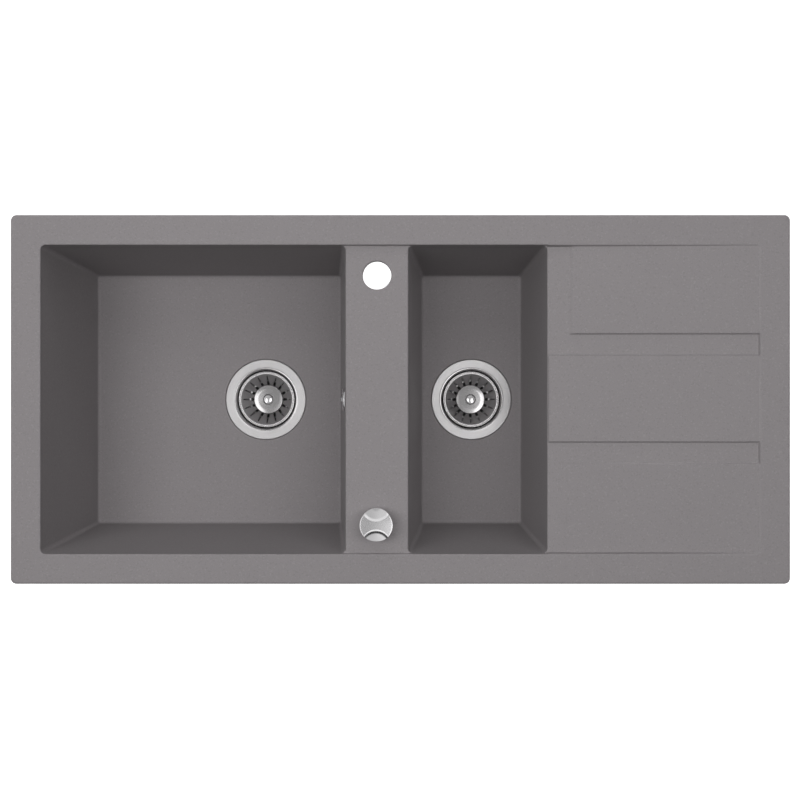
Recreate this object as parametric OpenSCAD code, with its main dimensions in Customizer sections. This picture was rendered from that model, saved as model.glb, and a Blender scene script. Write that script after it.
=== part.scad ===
// One and a half bowl inset sink with a drainer, two basket wastes, an overflow and a pop-up control.
// X runs along the length towards the drainer, Y towards the back edge with the tap hole, Z up.
// The origin is the plan centre of the rim's underside, the face that lies on the worktop.

/* [Rim and deck] */
// Overall length
sink_l = 950; // [900:5:1000]
// Overall width, front to back
sink_w = 450; // [430:5:480]
// Height of the rim above the worktop
rim_h = 9; // [8:0.5:12]
// Width of the flat border round the bowls and the drainer
rim_border = 37; // [34:1:45]
// Plan radius of the outer corners
corner_r = 7; // [5:0.5:12]
// Round-over of the rim's top edge
edge_r = 3.5; // [1:0.5:4.5]
// Plan radius of the inner corners of the border
recess_r = 6; // [3:0.5:10]
// Drop from the rim down to the bridge
deck_drop = 6; // [4:0.5:7]
// Thickness of the bridge
deck_t = 11; // [9:0.5:14]
// Distance from the outer edge in to the skirt that drops into the cut-out
skirt_inset = 16; // [13:1:20]
// Height of the stiffening ribs under the drainer
rib_h = 12; // [6:1:20]
// Thickness of the stiffening ribs
rib_t = 5; // [4:0.5:8]

/* [Bowls] */
// Depth of both bowls below the bridge
bowl_depth = 190; // [160:5:220]
// Length of the main bowl's opening
main_bowl_l = 371; // [350:1:380]
// Length of the half bowl's opening
half_bowl_l = 170; // [160:1:180]
// Width of the bridge between the bowls
bridge_w = 76.5; // [74:0.5:90]
// Thickness of the bowl walls
wall_t = 8; // [6:0.5:9]
// Thickness of the bowl floors
floor_t = 10; // [8:0.5:12]
// Plan radius of the bowls' upright corners
bowl_corner_r = 6; // [4:0.5:12]
// Radius between the walls and the floor
floor_r = 4; // [2:0.5:10]
// Lean of the end walls from the bridge level to the floor
end_draft = 13; // [8:0.5:18]
// Lean of the walls beside the bridge
bridge_draft = 18; // [12:0.5:22]
// Lean of the front and back walls
side_draft = 15; // [8:0.5:20]
// Main waste's distance from the foot of the wall beside the bridge
main_waste_inset = 105.5; // [75:0.5:160]

/* [Drainer] */
// Rise of the drainer's floor from the half bowl to the far end
drainer_rise = 3; // [1.5:0.5:3]
// Height of the back and middle panels above the drainer's floor
panel_h = 2.5; // [1:0.5:2.5]
// Margin between the half bowl and the back panel
back_margin = 28.5; // [15:0.5:45]
// Margin between the half bowl and the front panel
front_margin = 26; // [15:0.5:45]
// Width of the back panel, front to back
back_panel_w = 108; // [90:1:115]
// Width of the middle panel, front to back
middle_panel_w = 106; // [90:1:115]
// Width of the two channels between the panels
channel_w = 26; // [20:1:34]
// Fall of the front panel towards the front
front_fall = 2.5; // [1:0.5:4]

/* [Holes in the bridge] */
// Diameter of the tap hole and the control's hole
tap_hole_d = 35; // [34:0.5:36]
// Distance of the tap hole from the back edge
tap_inset = 73; // [65:1:90]
// Distance of the control from the front edge
control_inset = 74; // [65:1:90]

/* [Strainer cups] */
// Hole in the bowl floor
waste_hole_d = 90; // [89.4:0.1:92]
// Diameter of the cup's flange
flange_d = 112; // [108:0.5:116]
// Inner diameter of the cup above the ledge
throat_d = 86; // [84:0.5:86.5]
// Thickness of the cup's sheet steel
sheet_t = 1.2; // [0.8:0.1:1.5]
// How far the flange stands above the bowl floor
flange_proud = 0.6; // [0.3:0.1:1]
// Thickness of the seal under the flange
flange_seal_t = 1; // [0.5:0.1:2]
// Bowl floor down to the ledge that carries the basket
ledge_drop = 9; // [8:0.5:12]
// Width of the ledge outside the mouth of the well
ledge_w = 3.8; // [3:0.1:5]
// Inner diameter of the cup below the ledge
well_d = 72; // [68:0.5:73]
// Bowl floor down to the seat that the basket's seal closes
seat_drop = 34; // [33:0.5:40]
// Outer diameter of the seat
seat_d = 54; // [52:0.5:58]
// Diameter of the outlet inside the seat
seat_bore = 45; // [40:0.5:47]
// Seat down to the cup's bottom
cup_tail = 5; // [4.5:0.5:8]
// Diameter of each water hole in the cup's bottom
window_d = 9; // [5:0.5:9]
// Water holes in each cup's bottom
window_n = 6; // [4:1:8]
// Pitch radius of the water holes
window_r = 15; // [14:0.25:16]

/* [Baskets] */
// Diameter of the basket's rolled rim
ring_d = 78.8; // [77:0.2:80]
// Thickness of the rolled rim
ring_t = 2.6; // [1.6:0.1:3]
// Thickness of the basket's sheet
basket_t = 1; // [0.8:0.1:1.2]
// Bowl floor down to the basket's floor
basket_drop = 29; // [27:0.5:29.5]
// Outer diameter of the basket's floor
basket_floor_d = 43; // [41.5:0.5:46]
// Number of slots in each basket
slot_n = 16; // [12:1:18]
// Width of each slot
slot_w = 4.2; // [2:0.1:5]
// Diameter of the cap in the basket
cap_d = 40.5; // [36:0.5:41]
// Height of the cap's dome
cap_h = 4; // [3:0.5:6]
// Diameter of the button on the cap
button_d = 11.8; // [9:0.1:14]
// Height of the button above the cap
button_h = 2.5; // [1.5:0.5:4]
// Diameter of the hub under the basket
hub_d = 12; // [11:0.5:14]
// How far the hub reaches below the seal
hub_tail = 1; // [0.5:0.1:1.5]
// Diameter of the basket's seal
seal_d = 51; // [49:0.5:52]
// Thickness of the basket's seal
seal_t = 2.5; // [2:0.1:3]

/* [Waste bodies] */
// Width of the body's flange round the hole in the bowl floor
body_flange_w = 12; // [10:0.5:15]
// Thickness of the body's flange
body_flange_t = 4.5; // [3.5:0.5:6]
// Thickness of the gasket between the bowl and the body
body_gasket_t = 3; // [2:0.5:4]
// Wall of the moulded body
body_wall = 3.5; // [3:0.25:4]
// Space between the cup and the body
body_gap = 2.8; // [2:0.1:3.5]
// Diameter of the outlet's thread
outlet_d = 47.8; // [47.8:0.1:60]
// Length of the outlet's thread
outlet_l = 25; // [18:1:35]
// Height of the funnel above the outlet
funnel_h = 26; // [24:1:34]
// Diameter of the hub that holds the brass insert
insert_hub_d = 19; // [18:0.5:21]
// Across the flats of the brass insert
insert_af = 13; // [12.5:0.5:13.5]
// Height of the brass insert
insert_h = 8; // [6:0.5:10]
// Thickness of the ribs that carry the hub
body_rib_t = 3; // [2:0.5:4]
// Diameter of the centre screw
screw_d = 10; // [9.5:0.1:10.5]
// Diameter of the centre screw's head
screw_head_d = 16; // [14:0.5:18]
// Height of the centre screw's head
screw_head_h = 3; // [2:0.5:3.5]
// Diameter of the pin that slides in the centre screw
pin_d = 6.3; // [5:0.1:6.5]

/* [Lift mechanism] */
// Rise of the main basket when the control is turned
lift_h = 8; // [6:0.5:8]
// Length of the finger from the shaft to the pin
finger_l = 20; // [18:0.5:20]
// Radius of the finger's rounded tip
finger_r = 2.5; // [2:0.25:3]
// Diameter of the lift shaft
lift_shaft_d = 6; // [5:0.5:6.5]
// Length of the crank that the cable pulls
crank_l = 22; // [20:0.5:26]
// Thickness of the crank
crank_t = 4; // [3:0.5:5]
// Diameter of the boss round the shaft
gland_boss_d = 14; // [13:0.5:16]
// Height of the gland nut
gland_nut_h = 5; // [4:0.5:8]
// Wall of the covers round the crank and the drum
cover_t = 2; // [1.5:0.25:2.5]
// Turn of the control knob
knob_turn = 90; // [60:5:120]

/* [Overflow] */
// Bridge level down to the overflow's centre
overflow_drop = 41; // [34:1:60]
// Diameter of the overflow hole in the wall
overflow_hole_d = 24; // [20:0.5:26]
// Diameter of the overflow's rosette
rosette_d = 30; // [28:0.5:34]
// Thickness of the rosette
rosette_t = 3; // [2:0.25:4]
// Thickness of the overflow's gasket
overflow_gasket_t = 2; // [1:0.25:3]
// Diameter of the overflow elbow's flange
elbow_flange_d = 38; // [36:0.5:42]
// Depth of the elbow's chamber behind its flange
elbow_l = 22; // [20:0.5:26]
// Outer diameter of the hose and of the spigots it meets
hose_d = 26; // [24:0.5:27]
// Bore of the hose and the spigots
hose_bore = 19; // [16:0.5:20]
// Bend radius of the hose
hose_bend_r = 45; // [40:1:50]
// Pitch of the hose's ribs
rib_pitch = 4; // [4:0.5:6]
// Depth of the hose's ribs
rib_depth = 1.2; // [0.5:0.1:1.5]
// Length of each hose nut
hose_nut_l = 18; // [14:1:22]
// Wall of each hose nut
hose_nut_wall = 4; // [3:0.5:5]

/* [Control] */
// Diameter of the control knob
knob_d = 40; // [36:0.5:42]
// Height of the control knob
knob_h = 24; // [23:0.5:28]
// Width of the ridge between the knob's two finger scoops
knob_waist = 9.3; // [8:0.1:12]
// Radius of the finger scoops in the knob's top
scoop_r = 19.2; // [17:0.1:20]
// Lean of the scoops' walls below the knob's top
scoop_lean = 50; // [45:1:80]
// Height of the base under the knob
base_h = 3; // [2:0.5:5]
// Diameter of the base
base_d = 38.5; // [37:0.5:42]
// Diameter of the threaded shank through the bridge
shank_d = 33; // [30:0.5:33.5]
// Reach of the shank below the bridge
shank_reach = 23; // [20:1:30]
// Thickness of the rubber washer under the bridge
washer_t = 2; // [1.5:0.5:4]
// Thickness of the fixing nut
nut_t = 7; // [5:0.5:10]
// Across the flats of the fixing nut
nut_af = 41; // [40:0.5:46]
// Diameter of the control's spindle
spindle_d = 8; // [7:0.5:9]
// Height of the cable drum
drum_h = 8; // [7:0.5:10]
// Diameter of the drum's housing
housing_d = 38; // [37:0.5:42]
// Diameter of the control cable
cable_d = 5; // [4:0.5:6]

/* [Hidden] */
$fn = 64;
// Clearance of a part that slides or turns in another
run = 0.05;
// Clearance of a fixed part in its hole
fit = 0.1;
// Overlap that keeps cuts and joined solids clean
eps = 0.5;

// Levels, all from the worktop
deck_z = rim_h - deck_drop;
deck_under_z = deck_z - deck_t;
floor_z = deck_z - bowl_depth;
floor_under = -floor_t;

// Lines along the length
main_x0 = -sink_l / 2 + rim_border;
main_x1 = main_x0 + main_bowl_l;
half_x0 = main_x1 + bridge_w;
half_x1 = half_x0 + half_bowl_l;
drainer_x1 = sink_l / 2 - rim_border;
bridge_x = (main_x1 + half_x0) / 2;
main_waste_x = main_x1 - bridge_draft - main_waste_inset;
half_waste_x = (half_x0 + bridge_draft + half_x1 - end_draft) / 2;

// Lines across the width
open_y = sink_w / 2 - rim_border;
back_panel_y = open_y - back_panel_w;
middle_back_y = back_panel_y - channel_w;
middle_front_y = middle_back_y - middle_panel_w;
front_panel_y = middle_front_y - channel_w;
tap_y = sink_w / 2 - tap_inset;
control_y = sink_w / 2 - control_inset;

// Strainer cup, measured down from the bowl floor
seal_play = 1;
flange_z = flange_proud - sheet_t;
rebate_depth = flange_seal_t - flange_z;
cup_z = -seat_drop - cup_tail;
cup_under_z = cup_z - sheet_t;
well_taper = 1.4;
seat_slope = 4;

// Basket
hub_z = -seat_drop - hub_tail;
ring_r = ring_d / 2 - ring_t / 2;

// Waste body, measured down from the bowl floor
body_flange_d = waste_hole_d + 2 * body_flange_w;
body_top_z = floor_under - body_gasket_t;
body_r = well_d / 2 + sheet_t + body_gap;
insert_z = cup_under_z - body_gap - insert_h;
insert_lid = 1;
insert_hub_z = insert_z - insert_lid;
screw_end_z = insert_z;
screw_gap = 3;
pin_end_z = insert_hub_z - screw_gap - lift_h;
funnel_z = insert_hub_z;
outlet_top_z = funnel_z - funnel_h;
outlet_z = outlet_top_z - outlet_l;
outlet_bore = outlet_d - 2 * body_wall;
screw_bore = pin_d + 2 * run;

// Lift mechanism: the finger swings evenly to both sides of level
lift_half_angle = asin(lift_h / 2 / finger_l);
lift_swing = 2 * lift_half_angle;
finger_gap = 0.1;
// The boss reaches just past the body's wall and the cover's inner side
cover_gap = 1;
cover_y0 = body_r + body_wall + cover_gap;
gland_boss_y = cover_y0 + cover_t;
shaft_z = pin_end_z + lift_h / 2 - finger_r - finger_gap;
crank_gap = 1;
crank_y = gland_boss_y + gland_nut_h + crank_gap;
cover_y1 = crank_y + crank_t + crank_gap + cover_t;
crank_eye_r = 4;
gland_nut_d = gland_boss_d + 4;
cover_side = 14;
cover_foot = gland_nut_d / 2 + crank_gap + cover_t;
cover_lug_l = 8;
cover_reach = cover_side + cover_lug_l;
wire_d = 2;
gland_ring_r = 1.2;
cable_z = shaft_z + crank_l;

// Control, measured from the bridge's top
shank_z = -deck_t - shank_reach;
drum_gap = 1;
drum_z = shank_z - drum_gap - drum_h;
housing_z = drum_z - drum_gap - cover_t;
knob_gap = 0.3;
knob_edge_r = 2;
knob_cover = 10;
spindle_top = base_h + knob_h - knob_cover;
cable_lug_l = 12;
// The drum winds as much cable as the crank's end travels
drum_r = crank_l * lift_swing / knob_turn;

// Overflow: its own frame lies on the leaning wall, with z pointing into the bowl
overflow_tilt = atan(bridge_draft / bowl_depth);
overflow_x = main_x1 - overflow_drop * tan(overflow_tilt);
overflow_z = deck_z - overflow_drop;
elbow_r = overflow_hole_d / 2 + 2.5;
elbow_flange_t = 3;
elbow_face = -wall_t - overflow_gasket_t;
elbow_back = elbow_face - elbow_flange_t - elbow_l;
elbow_wall = 2.5;
hose_x = overflow_x - elbow_face + elbow_flange_t + elbow_l / 2;
nut_overlap = hose_nut_l / 2;
nut_gap = 2;
spigot_end_z = overflow_z - elbow_flange_d / 2 - nut_overlap - nut_gap;
inlet_drop = body_top_z - body_flange_t + eps - hose_d / 2;
inlet_z = floor_z + inlet_drop;
inlet_reach = body_flange_d / 2 + nut_overlap + 2 * nut_gap;
inlet_x = main_waste_x + inlet_reach;
post_d = 8;
overflow_screw_d = 4;

// Hose path: along the floor's underside, round one bend and up to the overflow
hose_bend_x = hose_x - hose_bend_r;
hose_bend_z = inlet_z + hose_bend_r;
hose_run = hose_bend_x - inlet_x;
hose_arc = hose_bend_r * PI / 2;
hose_rise = spigot_end_z - hose_bend_z;
hose_l = hose_run + hose_arc + hose_rise;
hose_rings = 2 * floor(hose_l / rib_pitch);

// Cable route from the control's lug, down between the bowls and under the main bowl to the crank's cover.
// Each step of the route is a share of the way from start to end along X, Y and Z, chosen by hand.
cable_start = [bridge_x - drum_r, -control_y + housing_d / 2 + cable_lug_l, deck_z + drum_z + drum_h / 2];
cable_end = [main_waste_x + finger_l + cover_reach, -crank_y - crank_t / 2, floor_z + cable_z];
cable_way = cable_end - cable_start;
cable_straight = 12;
cable_route = [
    [0.005, 0.46, 0.06],
    [0.005, 0.79, 0.16],
    [0.015, 0.93, 0.30],
    [0.025, 0.97, 0.45],
    [0.040, 0.99, 0.61],
    [0.085, 1, 0.76],
    [0.180, 1, 0.87],
    [0.330, 1, 0.95],
    [0.530, 1, 0.992],
];
cable_points = [
    cable_start,
    cable_start + [0, cable_straight, 0],
    for (s = cable_route) cable_start + [s[0] * cable_way[0], s[1] * cable_way[1], s[2] * cable_way[2]],
    cable_end + [cable_straight, 0, 0],
    cable_end,
];
cable_steps = 5;

// General shapes

// Rectangle with round corners, made of true arcs
module rounded_rect(l, w, r) {
    square([l - 2 * r, w], center = true);
    square([l, w - 2 * r], center = true);
    for (sx = [-1, 1]) {
        for (sy = [-1, 1]) {
            translate([sx * (l / 2 - r), sy * (w / 2 - r)]) circle(r);
        }
    }
}

// Flat ring
module ring(od, id, h) {
    difference() {
        cylinder(d = od, h = h);
        translate([0, 0, -eps]) cylinder(d = id, h = h + 2 * eps);
    }
}

// Hexagonal prism given across its flats
module hexagon(af, h) {
    cylinder(d = af / cos(30), h = h, $fn = 6);
}

function unit(v) = v / norm(v);

// Points of one ring of a tube, square to the path
function ring_points(centre, along, side, r, sides) =
    let (u = unit(cross(along, side)), w = unit(cross(along, u)))
    [for (k = [0:sides - 1]) centre + r * (cos(360 * k / sides) * u + sin(360 * k / sides) * w)];

function path_direction(path, i) =
    let (n = len(path) - 1)
    unit(path[min(i + 1, n)] - path[max(i - 1, 0)]);

// Triangles between two neighbouring rings of points
function band(a, b, sides) =
    [for (k = [0:sides - 1]) let (m = (k + 1) % sides) each [[a + k, a + m, b + m], [a + k, b + m, b + k]]];

// Solid tube of varying radius along a path
module cord(path, radius, sides, side) {
    rings = len(path);
    points = [for (i = [0:rings - 1]) each ring_points(path[i], path_direction(path, i), side, radius, sides)];
    skin = [for (i = [0:rings - 2]) each band(i * sides, (i + 1) * sides, sides)];
    start_cap = [for (k = [1:sides - 2]) [0, k + 1, k]];
    last = (rings - 1) * sides;
    end_cap = [for (k = [1:sides - 2]) [last, last + k, last + k + 1]];
    polyhedron(points, concat(skin, start_cap, end_cap), convexity = 6);
}

// Open tube along a path, with its own outer radius at each ring
module pipe(path, radii, bore_r, sides, side) {
    rings = len(path);
    outer = [for (i = [0:rings - 1]) each ring_points(path[i], path_direction(path, i), side, radii[i], sides)];
    inner = [for (i = [0:rings - 1]) each ring_points(path[i], path_direction(path, i), side, bore_r, sides)];
    total = rings * sides;
    skin = [for (i = [0:rings - 2]) each band(i * sides, (i + 1) * sides, sides)];
    bore = [for (i = [0:rings - 2]) each band(total + (i + 1) * sides, total + i * sides, sides)];
    start_face = band(total, 0, sides);
    end_face = band((rings - 1) * sides, total + (rings - 1) * sides, sides);
    polyhedron(concat(outer, inner), concat(skin, bore, start_face, end_face), convexity = 8);
}

// Smooth curve through hand-chosen points
function curve_point(a, b, c, d, t) =
    0.5 * (2 * b + (c - a) * t + (2 * a - 5 * b + 4 * c - d) * t * t + (3 * b - a - 3 * c + d) * t * t * t);

function curve(p, steps) =
    let (n = len(p) - 1)
    [for (i = [0:n - 1]) for (j = [0:(i == n - 1 ? steps : steps - 1)])
        curve_point(p[max(i - 1, 0)], p[i], p[i + 1], p[min(i + 2, n)], j / steps)];

// Sink body

// One corner of the rim, rounded over at its top
module rim_corner() {
    cylinder(r = corner_r, h = rim_h - edge_r, $fn = 32);
    translate([0, 0, rim_h - edge_r]) {
        rotate_extrude($fn = 32) {
            intersection() {
                union() {
                    translate([corner_r - edge_r, 0]) circle(edge_r, $fn = 32);
                    square([corner_r - edge_r, edge_r]);
                }
                square([corner_r, edge_r]);
            }
        }
    }
}

module rim_slab() {
    hull() {
        for (sx = [-1, 1]) {
            for (sy = [-1, 1]) {
                translate([sx * (sink_l / 2 - corner_r), sy * (sink_w / 2 - corner_r), 0]) rim_corner();
            }
        }
    }
}

// How far a leaning wall has come in from the bowl's opening at height z
function lean_in(lean, z) = lean * (deck_z - z) / bowl_depth;

// Inset of a ball of radius r that touches both the floor and a leaning wall
function ball_inset(lean, r) = let (a = atan(lean / bowl_depth)) r * (1 / cos(a) - tan(a));

// Leaning box with round upright corners and a round foot: a bowl's inside, or its outside with grow above 0
module bowl_shape(x0, x1, lean0, lean1, grow, top_z, foot_z) {
    top_r = bowl_corner_r + grow;
    foot_r = floor_r + grow;
    top_x0 = x0 + lean_in(lean0, top_z) - grow + top_r;
    top_x1 = x1 - lean_in(lean1, top_z) + grow - top_r;
    top_y = open_y - lean_in(side_draft, top_z) + grow - top_r;
    foot_x0 = x0 + lean_in(lean0, foot_z) - grow + ball_inset(lean0, foot_r);
    foot_x1 = x1 - lean_in(lean1, foot_z) + grow - ball_inset(lean1, foot_r);
    foot_y = open_y - lean_in(side_draft, foot_z) + grow - ball_inset(side_draft, foot_r);
    hull() {
        for (s = [-1, 1]) {
            translate([top_x0, s * top_y, top_z]) cylinder(r = top_r, h = eps, $fn = 32);
            translate([top_x1, s * top_y, top_z]) cylinder(r = top_r, h = eps, $fn = 32);
            translate([foot_x0, s * foot_y, foot_z + foot_r]) sphere(foot_r, $fn = 32);
            translate([foot_x1, s * foot_y, foot_z + foot_r]) sphere(foot_r, $fn = 32);
        }
    }
}

// The drainer's floor and panels are wedges that rise along X
module drainer_wedge(x0, x1, y0, y1, lift) {
    slope = drainer_rise / (drainer_x1 - half_x1);
    foot = deck_z - deck_t / 2;
    z0 = deck_z + (x0 - half_x1) * slope + lift;
    z1 = deck_z + (x1 - half_x1) * slope + lift;
    translate([0, y1, 0]) {
        rotate([90, 0, 0]) {
            linear_extrude(y1 - y0) polygon([[x0, foot], [x1, foot], [x1, z1], [x0, z0]]);
        }
    }
}

// Space above the front panel, which falls towards the front
module front_panel_cut() {
    tilt = atan(front_fall / (front_panel_y + open_y));
    rise = atan(drainer_rise / (drainer_x1 - half_x1));
    start_z = deck_z + front_margin * tan(rise);
    past = 30;
    intersection() {
        translate([half_x1 + front_margin, front_panel_y, start_z]) {
            rotate([tilt, 0, 0]) {
                rotate([0, -rise, 0]) translate([-past, -2 * open_y, 0]) cube([sink_l, 2 * open_y, past]);
            }
        }
        translate([half_x1 + front_margin, -open_y, deck_z - deck_drop]) {
            cube([drainer_x1 - half_x1 - front_margin, open_y + front_panel_y, past]);
        }
    }
}

module drainer() {
    difference() {
        union() {
            drainer_wedge(half_x1, drainer_x1 + eps, -open_y - eps, open_y + eps, 0);
            drainer_wedge(half_x1 + back_margin, drainer_x1 + eps, back_panel_y, open_y + eps, panel_h);
            drainer_wedge(half_x1, drainer_x1 + eps, middle_front_y, middle_back_y, panel_h);
        }
        front_panel_cut();
    }
}

// Ribs under the drainer, from the half bowl's wall to the skirt
module drainer_ribs() {
    rib_x1 = sink_l / 2 - skirt_inset;
    for (y = [-open_y / 2, 0, open_y / 2]) {
        translate([half_x1, y - rib_t / 2, deck_under_z - rib_h]) {
            cube([rib_x1 - half_x1, rib_t, rib_h + eps]);
        }
    }
}

// Moves to the overflow's own frame on the leaning wall
module on_overflow() {
    translate([overflow_x, 0, overflow_z]) rotate([0, -90 + overflow_tilt, 0]) children();
}

module sink_body() color([0.55, 0.53, 0.535]) {
    difference() {
        union() {
            difference() {
                union() {
                    rim_slab();
                    translate([0, 0, deck_under_z]) {
                        linear_extrude(deck_t) {
                            rounded_rect(sink_l - 2 * skirt_inset, sink_w - 2 * skirt_inset, corner_r);
                        }
                    }
                    bowl_shape(main_x0, main_x1, end_draft, bridge_draft, wall_t, deck_under_z, floor_z - floor_t);
                    bowl_shape(half_x0, half_x1, bridge_draft, end_draft, wall_t, deck_under_z, floor_z - floor_t);
                    drainer_ribs();
                }
                translate([0, 0, deck_z]) {
                    linear_extrude(rim_h) rounded_rect(drainer_x1 - main_x0, 2 * open_y, recess_r);
                }
            }
            drainer();
        }
        bowl_shape(main_x0, main_x1, end_draft, bridge_draft, 0, deck_z, floor_z);
        bowl_shape(half_x0, half_x1, bridge_draft, end_draft, 0, deck_z, floor_z);
        for (x = [main_waste_x, half_waste_x]) {
            translate([x, 0, floor_z - floor_t - eps]) cylinder(d = waste_hole_d, h = floor_t + 2 * eps);
            translate([x, 0, floor_z - rebate_depth]) cylinder(d = flange_d + 1, h = rebate_depth + eps);
        }
        for (y = [tap_y, -control_y]) {
            translate([bridge_x, y, deck_under_z - eps]) cylinder(d = tap_hole_d, h = deck_t + 2 * eps);
        }
        on_overflow() translate([0, 0, -wall_t - 2]) cylinder(d = overflow_hole_d, h = wall_t + 4);
    }
}

// Waste pieces, drawn round the waste's axis with the bowl floor at z = 0

module on_waste(x) {
    translate([x, 0, floor_z]) children();
}

// Pressed steel cup with its flange, ledge, seat and pierced bottom
module strainer_cup() color([0.80, 0.79, 0.79]) {
    throat = throat_d / 2;
    well = well_d / 2;
    ledge = well + ledge_w;
    well_foot = well - well_taper;
    seat = seat_d / 2;
    tail = seat_bore / 2;
    bead = 0.8;
    difference() {
        rotate_extrude() {
            polygon([
                [screw_d / 2 + fit, cup_z],
                [tail, cup_z],
                [tail, -seat_drop],
                [seat, -seat_drop],
                [well_foot, -seat_drop + seat_slope],
                [well, -ledge_drop],
                [ledge, -ledge_drop],
                [throat, -2 * bead],
                [throat + bead, flange_proud / 2 - bead],
                [throat + 3 * bead, flange_proud / 2],
                [flange_d / 2 - 2 * bead, flange_proud],
                [flange_d / 2, flange_proud / 2],
                [flange_d / 2, flange_z],
                [throat + sheet_t + bead, flange_z],
                [throat + sheet_t, flange_z - bead],
                [ledge + sheet_t, -ledge_drop - sheet_t],
                [well + sheet_t, -ledge_drop - sheet_t],
                [well_foot + sheet_t, -seat_drop + seat_slope - sheet_t],
                [seat + sheet_t, -seat_drop - sheet_t],
                [tail + sheet_t, -seat_drop - sheet_t],
                [tail + sheet_t, cup_under_z],
                [screw_d / 2 + fit, cup_under_z],
            ]);
        }
        for (k = [0:window_n - 1]) {
            rotate([0, 0, 360 * k / window_n]) {
                translate([window_r, 0, cup_under_z - eps]) cylinder(d = window_d, h = sheet_t + 2 * eps);
            }
        }
    }
}

module flange_seal() color([0.10, 0.10, 0.10]) {
    translate([0, 0, -rebate_depth]) ring(flange_d - seal_play, throat_d + 2 * (sheet_t + seal_play + fit), flange_seal_t);
}

// Slotted basket: rolled rim, cone, floor and the hub that carries the seal
module basket() color([0.72, 0.72, 0.73]) {
    step_w = 0.6;
    step_t = 0.8 * basket_t;
    step_r = ring_r - ring_t / 3;
    rim_in = step_r - step_w;
    rim_z = -ledge_drop + ring_t / 2;
    cone_z = -ledge_drop + 1;
    floor_r0 = basket_floor_d / 2;
    collar_r = hub_d / 2 + 3;
    slot_in = floor_r0 - basket_t / 2;
    slot_out = ring_r - 4.5;
    difference() {
        rotate_extrude() {
            translate([ring_r, rim_z]) circle(d = ring_t);
            polygon([
                [0, hub_z],
                [hub_d / 2, hub_z],
                [hub_d / 2, -seat_drop + seal_t],
                [collar_r, -seat_drop + seal_t],
                [collar_r, -basket_drop],
                [floor_r0, -basket_drop],
                [rim_in, cone_z],
                [step_r, cone_z],
                [step_r, cone_z + step_t],
                [rim_in - basket_t, cone_z + step_t],
                [floor_r0 - basket_t, -basket_drop + basket_t],
                [0, -basket_drop + basket_t],
            ]);
        }
        for (k = [0:slot_n - 1]) {
            rotate([0, 0, 360 * k / slot_n]) {
                translate([slot_in, -slot_w / 2, -basket_drop]) {
                    cube([slot_out - slot_in, slot_w, basket_drop - ledge_drop + eps]);
                }
            }
        }
    }
}

// Domed cap with a flat seat for its button
cap_foot_z = -basket_drop + basket_t;
cap_rim_h = 1;
cap_top_z = cap_foot_z + cap_rim_h + cap_h;
button_sink = 0.6;

module basket_cap() color([0.82, 0.82, 0.83]) {
    dome_r = (pow(cap_d / 2, 2) + pow(cap_h, 2)) / (2 * cap_h);
    difference() {
        translate([0, 0, cap_foot_z]) {
            rotate_extrude() {
                intersection() {
                    translate([0, cap_rim_h + cap_h - dome_r]) circle(dome_r, $fn = 256);
                    square([cap_d / 2, cap_rim_h + cap_h + 1]);
                }
            }
        }
        translate([0, 0, cap_top_z - button_sink]) cylinder(d = button_d + 2 * fit, h = cap_h);
    }
}

module basket_button() color([0.86, 0.86, 0.87]) {
    edge = 0.8;
    translate([0, 0, cap_top_z - button_sink]) {
        rotate_extrude() {
            polygon([
                [0, 0],
                [button_d / 2, 0],
                [button_d / 2, button_h + button_sink - edge],
                [button_d / 2 - edge, button_h + button_sink],
                [0, button_h + button_sink],
            ]);
        }
    }
}

module basket_seal() color([0.09, 0.09, 0.09]) {
    lip = 0.8;
    translate([0, 0, -seat_drop]) {
        rotate_extrude() {
            polygon([
                [hub_d / 2, 0],
                [seal_d / 2 - lip, 0],
                [seal_d / 2, lip],
                [seal_d / 2 - lip, seal_t],
                [hub_d / 2, seal_t],
            ]);
        }
    }
}

// Hollow slotted screw that draws the cup and the body together
module centre_screw() color([0.70, 0.70, 0.71]) {
    slot = 2;
    slot_depth = 1.2;
    difference() {
        union() {
            translate([0, 0, cup_z]) cylinder(d = screw_head_d, h = screw_head_h);
            translate([0, 0, screw_end_z]) cylinder(d = screw_d, h = cup_z - screw_end_z + eps);
        }
        translate([0, 0, screw_end_z - eps]) {
            cylinder(d = screw_bore, h = cup_z - screw_end_z + screw_head_h + 2 * eps);
        }
        translate([-screw_head_d, -slot / 2, cup_z + screw_head_h - slot_depth]) {
            cube([2 * screw_head_d, slot, slot_depth + eps]);
        }
    }
}

module insert_nut() color([0.78, 0.62, 0.30]) {
    translate([0, 0, insert_z]) {
        difference() {
            hexagon(insert_af - 2 * fit, insert_h);
            translate([0, 0, -eps]) cylinder(d = screw_d + 2 * fit, h = insert_h + 2 * eps);
        }
    }
}

module body_gasket() color([0.12, 0.12, 0.12]) {
    translate([0, 0, body_top_z]) {
        ring(body_flange_d - 2 * seal_play, throat_d + 2 * (sheet_t + seal_play), body_gasket_t);
    }
}

// Profile of the moulded body: flange, straight wall, funnel and outlet
module body_profile() {
    polygon([
        [body_r, body_top_z],
        [body_flange_d / 2, body_top_z],
        [body_flange_d / 2, body_top_z - body_flange_t],
        [body_r + body_wall, body_top_z - body_flange_t],
        [body_r + body_wall, funnel_z],
        [outlet_d / 2, outlet_top_z],
        [outlet_d / 2, outlet_z],
        [outlet_bore / 2, outlet_z],
        [outlet_bore / 2, outlet_top_z],
        [body_r, funnel_z],
    ]);
}

// Everything inside the body's walls
module body_inside() {
    rotate_extrude() {
        polygon([
            [0, body_top_z + eps],
            [body_r, body_top_z + eps],
            [body_r, funnel_z],
            [outlet_bore / 2, outlet_top_z],
            [outlet_bore / 2, outlet_z - eps],
            [0, outlet_z - eps],
        ]);
    }
}

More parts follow.
